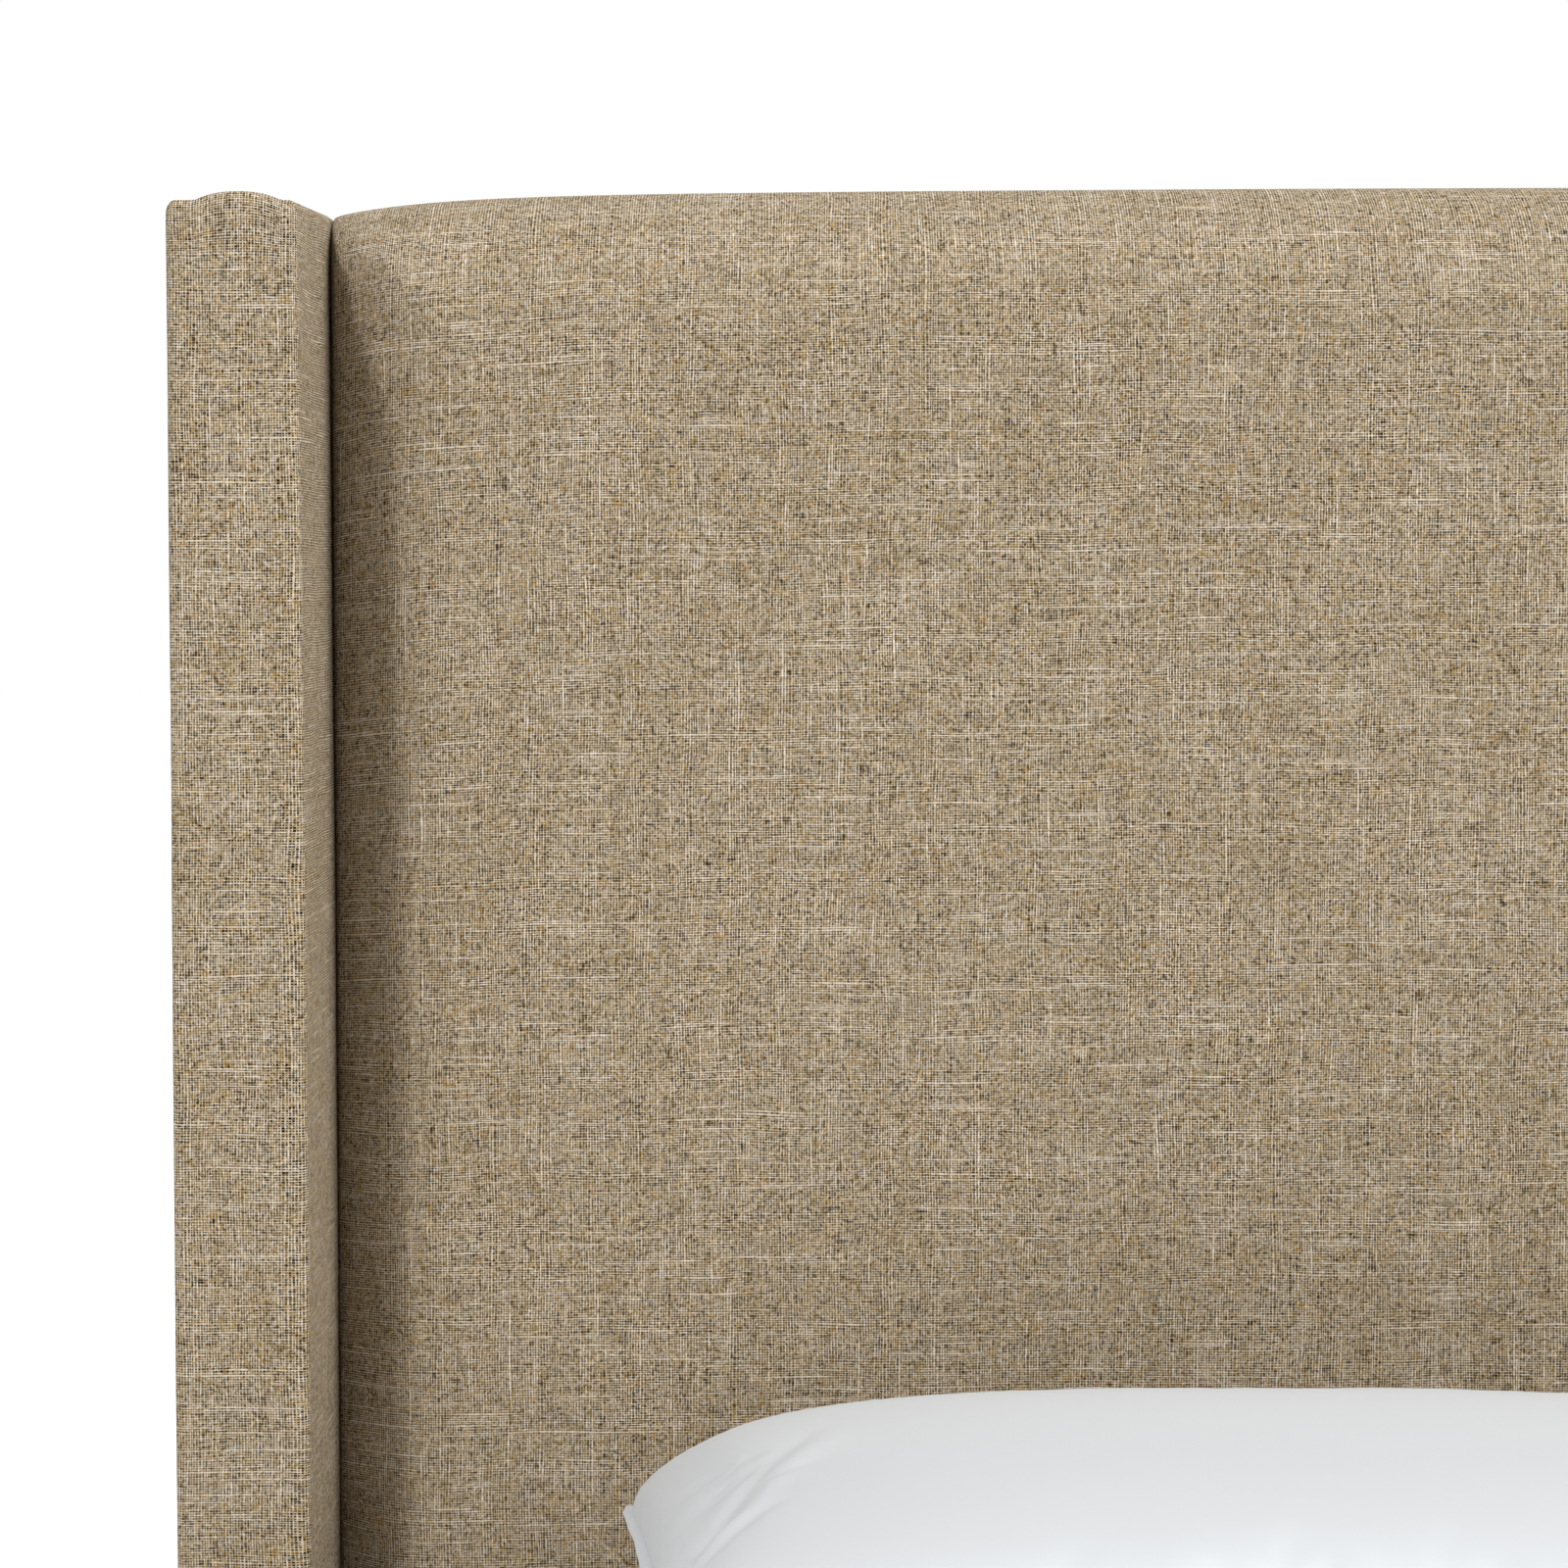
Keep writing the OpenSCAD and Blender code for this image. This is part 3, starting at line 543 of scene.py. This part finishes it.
def cloth_piece(obj, *nodes):
    """Makes a piece the padding under linen that stands for its CAD pad and cover."""
    finish(obj, LINEN)
    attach(obj, BODY)
    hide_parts(*nodes)


def panel_columns(half_width):
    """Distances across the headboard: close together in the side rolls, wider in the middle."""
    roll, roll_steps, middle_steps = 90 * MM, 36, 99
    near = roll * np.linspace(0, 1, roll_steps + 1) ** 1.6
    middle = np.linspace(-half_width + roll, half_width - roll, middle_steps + 1)
    return np.concatenate([-half_width + near[:-1], middle, half_width - near[:-1][::-1]])


def arc(centre, radius, start, end, steps):
    """Points on an arc in the upright plane, with angles in degrees from the forward direction."""
    angles = np.radians(np.linspace(start, end, steps + 1))
    return [(centre[0] - radius * math.cos(a), centre[1] + radius * math.sin(a)) for a in angles]


def roll_depth(distance, width, depth, power):
    """How far the padding falls back at a distance from the edge that it rolls towards."""
    return depth * max(0, 1 - distance / width) ** power


def panel_outline(x):
    """The headboard's outline in Y and Z at one distance across, from the bottom hem to the top hem."""
    low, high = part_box("headboard_cover")
    board_low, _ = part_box("headboard_plywood")
    pad_low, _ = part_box("headboard_pad")
    roll, under, back_r, hem_r = 75 * MM, 14 * MM, 6 * MM, 3 * MM
    rise, crown, corner_dip, corner_run = 5 * MM, 5 * MM, 10 * MM, 50 * MM
    cover = board_low.z - low.z
    front = board_low.y - cover
    bottom = pad_low.z - cover
    edge = high.x - abs(x)
    side = roll_depth(edge, 77 * MM, 40 * MM, 2.6) + roll_depth(edge, 5 * MM, 10 * MM, 2)
    face = low.y + side
    top = high.z + rise - crown * (x / high.x) ** 2 - corner_dip * math.exp(-edge / corner_run)

    points = [(high.y, low.z), (front + hem_r, low.z), (front, low.z + hem_r)]
    points += [(front, z) for z in np.linspace(low.z + 30 * MM, bottom - 4 * MM, 8)]
    points += arc((face + under, bottom + under), under, -90, 0, 6)
    points += [(face, z) for z in np.linspace(bottom + 2.5 * under, top - roll - 8 * MM, 70)]
    for angle in np.radians(np.linspace(0, 90, 31)):
        over = roll * (1 - math.cos(angle))
        points.append((low.y + (side ** 3 + over ** 3) ** (1 / 3), top - roll * (1 - math.sin(angle))))
    points += [(y, top) for y in np.linspace(points[-1][0], high.y - back_r, 5)[1:]]
    points += arc((high.y - back_r, top - back_r), back_r, 90, 180, 4)[1:]
    return np.array(points)


def run_along(line):
    """The length along a line of points, up to each of them."""
    return np.concatenate([[0], np.cumsum(np.linalg.norm(np.diff(line, axis=0), axis=1))])


def headboard():
    """The padded panel: a roll along the top, a roll down each side and a plain lower part."""
    _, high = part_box("headboard_cover")
    board_low, board_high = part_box("headboard_plywood")
    columns = panel_columns(high.x)
    lines = [panel_outline(x) for x in columns]
    slices = [np.column_stack([np.full(len(line), x), line]) for x, line in zip(columns, lines)]
    grid = np.stack(slices, axis=1)
    up = run_along(grid[:, len(columns) // 2, 1:])
    across = run_along(grid[len(up) // 2])
    patches = Patches()
    patches.grid(grid, np.stack(np.meshgrid(across, up), axis=-1))

    hidden = [(high.y, board_high.z), (board_low.y, board_high.z)]
    hidden += [(board_low.y, board_low.z), (high.y, board_low.z)]
    backs = [grid[-1]]
    for y, z in hidden:
        backs.append(np.column_stack([columns, np.full(len(columns), y), np.full(len(columns), z)]))
    backs.append(grid[0])
    back = np.stack(backs, axis=0)
    lengths = up[-1] + 50 * MM * np.arange(len(backs))
    patches.grid(back, np.stack(np.meshgrid(across, lengths), axis=-1))
    for end in (0, -1):
        ring = np.concatenate([grid[:, end], back[1:-1, end]])
        patches.cap(ring, ring[:, 1:])

    def ripple(points):
        lump, lump_depth = 0.11, 0.5 * MM
        padded = smoothstep(board_low.y, board_low.y - 20 * MM, points[:, 1])
        inside = smoothstep(0, 30 * MM, high.x - abs(points[:, 0]))
        points[:, 1] += waves(points, lump, 3) * lump_depth * padded * inside
        return points

    obj = patches.build("headboard_upholstery", ripple)
    cloth_piece(obj, "headboard_cover", "headboard_pad")


def wing(side):
    """A straight padded wing whose top is higher along its middle and falls a little to the front."""
    low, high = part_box(f"wing_{side}_cover")
    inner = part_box("headboard_cover")[1].x
    sign = -1 if side == "left" else 1
    low.x, high.x = sorted((sign * inner, sign * max(abs(low.x), abs(high.x))))
    rise, dip, ridge, swell = 3.8 * MM, 7 * MM, 4.4 * MM, 2.5 * MM
    hump_x, hump_half = sign * (inner + 29 * MM), 21 * MM
    fall_run = 0.15
    lump, lump_depth = 0.14, 0.35 * MM

    def shape(points):
        from_front = points[:, 1] - low.y
        hump = 1 - np.clip(abs(points[:, 0] - hump_x) / hump_half, 0, 1) ** 2.4
        fall = np.clip(1 - from_front / fall_run, 0, 1)
        near_top = smoothstep(high.z - 40 * MM, high.z, points[:, 2])
        points[:, 2] += near_top * (rise - fall * (dip - ridge * hump))
        soft = waves(points, lump, 11 + sign) * lump_depth
        points[:, 0] += soft * smoothstep(0, 20 * MM, high.z - points[:, 2])
        height = (points[:, 2] - low.z) / (high.z - low.z)
        on_inside = smoothstep(10 * MM, 0, abs(points[:, 0] - sign * inner))
        points[:, 0] -= sign * on_inside * swell * np.sin(math.pi * np.clip(height, 0, 1))
        return points

    radii = (4.5 * MM, 5 * MM, 7 * MM)
    step = (2.5 * MM, 10 * MM, 10 * MM)
    obj = soft_box(f"wing_{side}_upholstery", low, high, radii, step, shape)
    cloth_piece(obj, f"wing_{side}_cover", f"wing_{side}_pad")


def hem(name, low, high):
    """A turned-in edge of linen, stapled to the inside of a rail."""
    edge_r, step = 0.7 * MM, 30 * MM
    obj = soft_box(name, low, high, (edge_r,) * 3, (step,) * 3)
    finish(obj, LINEN)
    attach(obj, BODY)


def hem_bands(low, high):
    """The name, lowest and highest place of each of a rail's two hems."""
    edge, reach = 9 * MM, 40 * MM
    return (("lower", low.z + edge, low.z + reach), ("upper", high.z - reach, high.z - edge))


def puffed(low, high, axis, sign, seed):
    """A move that lets one face of a rail swell a little between its edges."""
    depth, lump, lump_depth = 2.5 * MM, 0.12, 0.4 * MM

    def move(points):
        height = (points[:, 2] - low.z) / (high.z - low.z)
        swell = np.clip(1 - (2 * height - 1) ** 2, 0, 1) ** 0.7
        out = smoothstep(0, 25 * MM, sign * (points[:, axis] - (low[axis] + high[axis]) / 2))
        points[:, axis] += sign * out * (swell * depth + waves(points, lump, seed) * lump_depth)
        return points

    return move


def side_rail(side):
    """A side rail's padded outside, and the two hems on its inside."""
    low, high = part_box(f"side_rail_{side}_cover")
    board_low, board_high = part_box(f"side_rail_{side}_board")
    sign = -1 if side == "left" else 1
    outer, inner = sorted((low.x, high.x), key=abs, reverse=True)
    board = min((board_low.x, board_high.x), key=abs)
    low.x, high.x = sorted((outer, board + sign * 0.5 * MM))
    radii = (9 * MM, 4 * MM, 10 * MM)
    step = (14 * MM, 20 * MM, 14 * MM)
    move = puffed(low, high, 0, sign, 21 + sign)
    obj = soft_box(f"side_rail_{side}_upholstery", low, high, radii, step, move)
    cloth_piece(obj, f"side_rail_{side}_cover", f"side_rail_{side}_pad")
    x0, x1 = sorted((inner, board + sign * MM))
    for name, z0, z1 in hem_bands(low, high):
        hem(f"side_rail_{side}_{name}_hem", (x0, low.y + 2 * MM, z0), (x1, high.y - 2 * MM, z1))


def foot_rail():
    """The foot rail's padded outside, and the two hems on its inside."""
    low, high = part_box("foot_rail_cover")
    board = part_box("foot_rail_board")[1].y
    inner = high.y
    high.y = board - 0.5 * MM
    radii = (14 * MM, 9 * MM, 10 * MM)
    step = (20 * MM, 14 * MM, 14 * MM)
    move = puffed(low, high, 1, -1, 25)
    obj = soft_box("foot_rail_upholstery", low, high, radii, step, move)
    cloth_piece(obj, "foot_rail_cover", "foot_rail_pad")
    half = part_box("slats")[1].x
    for name, z0, z1 in hem_bands(low, high):
        hem(f"foot_rail_{name}_hem", (-half, board - MM, z0), (half, inner, z1))


# ---- mattress and pillows ------------------------------------------------------------------------

def mattress():
    """A quilted mattress with taped edges round its top and its bottom."""
    low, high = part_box("mattress_cover")
    centre = (low + high) / 2
    quilt, quilt_depth, stitch_width = 0.19, 10 * MM, 0.22
    border_fall, side_bulge = 5 * MM, 3 * MM
    corner_r, edge_r = 55 * MM, 14 * MM

    def shape(points):
        x, y = points[:, 0] - centre.x, points[:, 1] - centre.y
        border = np.minimum(high.x - centre.x - abs(x), high.y - centre.y - abs(y))
        over = smoothstep(high.z - 12 * MM, high.z - 2 * MM, points[:, 2])
        diagonals = [abs(np.sin(math.pi * run / quilt)) for run in (x + y, x - y)]
        seam = np.exp(-np.minimum(*diagonals) / stitch_width) * smoothstep(25 * MM, 60 * MM, border)
        fall = border_fall * (1 - smoothstep(0, 90 * MM, border))
        points[:, 2] -= over * (quilt_depth * seam + fall)
        upright = smoothstep(low.z + 20 * MM, low.z + 60 * MM, points[:, 2])
        upright *= smoothstep(high.z - 20 * MM, high.z - 60 * MM, points[:, 2])
        bulge = side_bulge * upright * (0.6 + 0.4 * waves(points, 0.3, 31))
        outward = np.stack([x, y], axis=1)
        outward /= np.linalg.norm(outward, axis=1)[:, None] + MM
        on_side = smoothstep(30 * MM, 5 * MM, border)
        points[:, :2] += outward * (bulge * on_side)[:, None]
        return points

    step = (10 * MM, 10 * MM, 16 * MM)
    obj = soft_box("mattress_ticking", low, high, (corner_r, corner_r, edge_r), step, shape)
    finish(obj, TICKING)
    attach(obj, "mattress")
    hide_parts("mattress_cover", "mattress_core")

    inset, tape_drop, tape_r = MM, 22 * MM, 4.5 * MM
    for name, z in (("top", high.z - tape_drop), ("bottom", low.z + tape_drop)):
        corners = (low.x + inset, low.y + inset), (high.x - inset, high.y - inset)
        loop = round_loop(*corners, corner_r - inset)
        tape = tube_loop(f"mattress_{name}_tape", [(x, y, z) for x, y in loop], tape_r)
        finish(tape, TAPE)
        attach(tape, "mattress")


# how far the pillow's sides pull in between its corners, its stitched edge and its half height
PULL_X, PULL_Y = 18 * MM, 12 * MM
SEAM = 6 * MM
PILLOW_RISE = 90 * MM

# the start, end, depth and width of each soft fold, measured from the pillow's middle
FOLDS = (
    ((-0.285, -0.10), (-0.218, 0.05), 2.1 * MM, 6 * MM),
    ((0.16, 0.17), (0.26, 0.06), 2.0 * MM, 9 * MM),
)


def pulled_in(s, t, half_x, half_y):
    """Points in plan whose edges curve in between the corners. s and t run from -1 to 1."""
    return s * (half_x - PULL_X * (1 - t ** 2)), t * (half_y - PULL_Y * (1 - s ** 2))


def plump_form(name, half_x, half_y, rise):
    """A closed, well filled pillow about its seam, whose sides pull in between its corners."""
    steps = (111, 85)
    s, t = np.meshgrid(*[np.sin(np.linspace(-math.pi / 2, math.pi / 2, count)) for count in steps])
    x, y = pulled_in(s, t, half_x, half_y)
    z = rise * np.clip((1 - abs(s) ** 2.6) * (1 - abs(t) ** 2.6), 0, 1) ** 0.3
    patches = Patches()
    for sign in (1, -1):
        patches.grid(np.stack([x, y, sign * z], axis=-1), np.stack([x, y], axis=-1))
    return patches.build(name)


def applied(obj, kind, **settings):
    """A new mesh: the piece's own mesh with one modifier applied."""
    modifier = obj.modifiers.new(kind.lower(), kind)
    for key, value in settings.items():
        setattr(modifier, key, value)
    evaluated = obj.evaluated_get(bpy.context.evaluated_depsgraph_get())
    mesh = bpy.data.meshes.new_from_object(evaluated)
    obj.modifiers.remove(modifier)
    return mesh


def swell(obj, pressure, frames, reach):
    """Blows the piece up as cloth, with no point moved further than its reach, and keeps the result."""
    cloth = obj.modifiers.new("cloth", "CLOTH")
    settings = cloth.settings
    settings.quality = 5
    settings.mass = 0.3
    settings.tension_stiffness = 15
    settings.compression_stiffness = 15
    settings.shear_stiffness = 5
    settings.bending_stiffness = 0.3
    settings.use_pressure = True
    settings.uniform_pressure_force = pressure
    settings.effector_weights.gravity = 0
    cloth.collision_settings.use_collision = False
    cloth.point_cache.frame_start = 1
    cloth.point_cache.frame_end = frames
    scene = bpy.context.scene
    for number in range(1, frames + 1):
        scene.frame_set(number)
    evaluated = obj.evaluated_get(bpy.context.evaluated_depsgraph_get())
    blown = np.array([v.co for v in evaluated.data.vertices])
    obj.modifiers.remove(cloth)
    scene.frame_set(1)

    def limited(points):
        travel = blown - points
        length = np.linalg.norm(travel, axis=1, keepdims=True)
        return points + travel * np.minimum(1, reach / np.maximum(length, 0.001 * MM))

    move_points(obj, limited)


def pillow_shape():
    """One filled pillow about its own seam, made once and used for both."""
    low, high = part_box("pillow_left_case")
    half = (high - low) / 2
    room, reach = 4 * MM, 9 * MM
    pressure, frames = 4.0, 20
    outer_x, outer_y = half.x - SEAM - room, half.y - SEAM - room
    obj = plump_form("pillow_shape", outer_x, outer_y, PILLOW_RISE - room)
    obj.data = applied(obj, "REMESH", mode="VOXEL", voxel_size=6 * MM)
    swell(obj, pressure, frames, reach)
    mesh = applied(obj, "SUBSURF", levels=1)
    bpy.data.objects.remove(obj)
    return mesh


def crease(points, start, end, depth, width):
    """How far each point sinks in a soft fold along a line in plan, with a ridge to the line's right."""
    start, end = np.array(start), np.array(end)
    ahead = (end - start) / np.linalg.norm(end - start)
    offset = points[:, :2] - start
    run = offset @ ahead / np.linalg.norm(end - start)
    side = offset @ np.array([ahead[1], -ahead[0]])
    fade = smoothstep(-0.15, 0.25, run) * smoothstep(1.25, 0.7, run)
    valley = np.exp(-(side / width) ** 2)
    ridge = np.exp(-((side - 2.1 * width) / (1.6 * width)) ** 2)
    return depth * fade * (valley - 0.8 * ridge)


def pillow_rim(steps=60):
    """Points round a square from -1 to 1, anticlockwise from its lower right corner."""
    corners = ((1, -1), (1, 1), (-1, 1), (-1, -1))
    rim = []
    for (s0, t0), (s1, t1) in zip(corners, corners[1:] + corners[:1]):
        for k in np.arange(steps) / steps:
            rim.append((s0 + (s1 - s0) * k, t0 + (t1 - t0) * k))
    return np.array(rim).T


def pillow_seam(side, centre, half, turn):
    """The stitched edge of the pillow's case: a thin, wavy flange all round."""
    thick, wave_size, wave_reach, wave_rise = 1.3 * MM, 0.035, 1.2 * MM, 2.2 * MM
    s, t = pillow_rim()
    line = np.stack(pulled_in(s, t, half.x - SEAM, half.y - SEAM), axis=1)
    ahead = np.roll(line, -1, axis=0) - np.roll(line, 1, axis=0)
    ahead /= np.linalg.norm(ahead, axis=1, keepdims=True)
    out = np.stack([ahead[:, 1], -ahead[:, 0]], axis=1)
    wave = waves(np.column_stack([line, np.zeros(len(line))]), wave_size, 61)
    flutter = np.roll(wave, 7) * wave_rise
    root = 6 * MM
    section = ((0, 0.5), (0.7, 0.5), (0.9, 0.42), (1, 0), (0.9, -0.42), (0.7, -0.5), (0, -0.5), (0, 0.5))
    rings = []
    for place, height in section:
        reach = (SEAM + wave_reach * wave) * place if place > 0 else np.full(len(wave), -root)
        ring = np.column_stack([line + out * reach[:, None], height * thick + flutter * place])
        rings.append(np.vstack([ring, ring[:1]]))
    grid = np.stack(rings, axis=0)
    grid[..., :2] *= turn
    grid += np.array(centre)
    patches = Patches()
    patches.grid(grid, grid[..., :2])
    obj = patches.build(f"pillow_{side}_seam")
    finish(obj, COTTON)
    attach(obj, f"pillow_{side}")


def pressed(points, floor, soft):
    """Lays the points on a floor: their lowest part, soft deep, is pressed flat without a fold."""
    sunk, least = 2 * MM, 0.3 * MM
    depth = points[:, 2] - floor
    flat = np.where(depth < soft, soft * np.exp((depth - soft) / soft), depth)
    points[:, 2] = floor + np.maximum(flat - sunk, least)
    return points


def pillow(side, mesh):
    """A pillow laid on the mattress: its underside is flattened where it lies."""
    low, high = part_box(f"pillow_{side}_case")
    centre, half = (low + high) / 2, (high - low) / 2
    centre.z = low.z + 79 * MM
    obj = bpy.data.objects.new(f"pillow_{side}_cover", mesh.copy())
    bpy.context.scene.collection.objects.link(obj)
    turn = 1 if side == "left" else -1

    def lay(points):
        reach = abs(points).max(axis=0)
        points *= np.array([half.x - SEAM, half.y - SEAM, PILLOW_RISE]) / reach
        sunk = sum(crease(points, *fold) for fold in FOLDS)
        points[:, 2] -= sunk * smoothstep(0, 30 * MM, points[:, 2])
        points[:, :2] *= turn
        return pressed(points + np.array(centre), low.z, 22 * MM)

    move_points(obj, lay)
    for polygon in obj.data.polygons:
        polygon.use_smooth = True
    finish(obj, COTTON)
    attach(obj, f"pillow_{side}")
    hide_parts(f"pillow_{side}_case", f"pillow_{side}_filling")
    pillow_seam(side, centre, half, turn)


# ---- what stays as CAD ---------------------------------------------------------------------------

def finish_cad_nodes():
    """Gives every CAD node that stays in view its material, with wood grain along the piece."""
    by_slot = {
        "plywood": PLYWOOD, "hardboard": hardboard(), "dust_cloth": dust_cloth(), "steel": STEEL,
        "glide_plastic": plastic(), "leg_wood": LEG_WOOD, "webbing": webbing(),
    }
    slots = {part["node"]: part["material_slot"] for part in frame["record"]["subparts"]}
    grain = {"slats": 0, "headboard_studs": 2, "wing_rungs": 1, "corner_blocks": 2, "centre_legs": 2}
    for name, obj in frame["nodes"].items():
        if obj.hide_render:
            continue
        slot = slots[name]
        if slot == "pine":
            low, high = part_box(name)
            size = high - low
            axis = grain.get(name, max(range(3), key=lambda i: size[i]))
            material = PINE[axis]
        else:
            material = by_slot[slot]
        finish(obj, material)


# ---- stage ---------------------------------------------------------------------------------------

def camera():
    """A camera in front of the bed, a little right of the left wing, that looks slightly down."""
    right_of_wing, ahead_of_wing, below_top, tilt_down = 0.2360, 1.804, 0.205, 3.03
    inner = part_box("headboard_cover")[0].x
    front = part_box("wing_left_cover")[0].y
    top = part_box("headboard_cover")[1].z
    data = bpy.data.cameras.new("camera")
    data.lens = 85
    data.sensor_width = 36
    obj = bpy.data.objects.new("camera", data)
    obj.location = (inner + right_of_wing, front - ahead_of_wing, top - below_top)
    obj.rotation_euler = (math.radians(90 - tilt_down), 0, 0)
    bpy.context.scene.collection.objects.link(obj)
    bpy.context.scene.camera = obj


def sun(name, azimuth, elevation, spread, strength):
    """A distant light. Azimuth runs from the foot end towards the right, spread is its width."""
    data = bpy.data.lights.new(name, "SUN")
    data.angle = math.radians(spread)
    data.energy = strength
    obj = bpy.data.objects.new(name, data)
    turn, tilt = math.radians(azimuth), math.radians(elevation)
    toward = Vector((math.sin(turn) * math.cos(tilt), -math.cos(turn) * math.cos(tilt), math.sin(tilt)))
    obj.rotation_euler = toward.to_track_quat("Z", "Y").to_euler()
    bpy.context.scene.collection.objects.link(obj)


def floor_plane(half):
    """A pale floor that reaches half to each side."""
    mesh = bpy.data.meshes.new("floor")
    corners = [(-half, -half, 0), (half, -half, 0), (half, half, 0), (-half, half, 0)]
    mesh.from_pydata(corners, [], [(0, 1, 2, 3)])
    floor = bpy.data.objects.new("floor", mesh)
    bpy.context.scene.collection.objects.link(floor)
    pale = Shader("pale_floor", roughness=0.9)
    pale.colour(rgb(0.85, 0.85, 0.85))
    finish(floor, pale.material)


def surround(ambient):
    """An even surround: white where the camera sees it, and the given strength as light."""
    world = bpy.data.worlds.new("studio")
    world.use_nodes = True
    tree = world.node_tree
    background = tree.nodes["Background"]
    background.inputs["Color"].default_value = rgb(1, 1, 1)
    seen = tree.nodes.new("ShaderNodeLightPath").outputs["Is Camera Ray"]
    strength = tree.nodes.new("ShaderNodeMapRange")
    tree.links.new(seen, strength.inputs["Value"])
    strength.inputs["To Min"].default_value = ambient
    strength.inputs["To Max"].default_value = 1.0
    tree.links.new(strength.outputs["Result"], background.inputs["Strength"])
    bpy.context.scene.world = world


def studio():
    """A pale floor, an even white surround and four distant lights, the main one from the upper left."""
    floor_plane(40)
    surround(0.41)
    sun("key", -24.5, 49, 6.5, 1.76)
    sun("fill", 60, 24, 60, 2.45)
    sun("top", 0, 80, 90, 0.44)
    sun("back", 170, 30, 40, 1.1)
    bpy.context.scene.view_settings.view_transform = "Standard"


# ---- the bed -------------------------------------------------------------------------------------

camera()
studio()
headboard()
for side_name in SIDES:
    wing(side_name)
    side_rail(side_name)
foot_rail()
mattress()
shape_of_pillow = pillow_shape()
for side_name in SIDES:
    pillow(side_name, shape_of_pillow)
finish_cad_nodes()
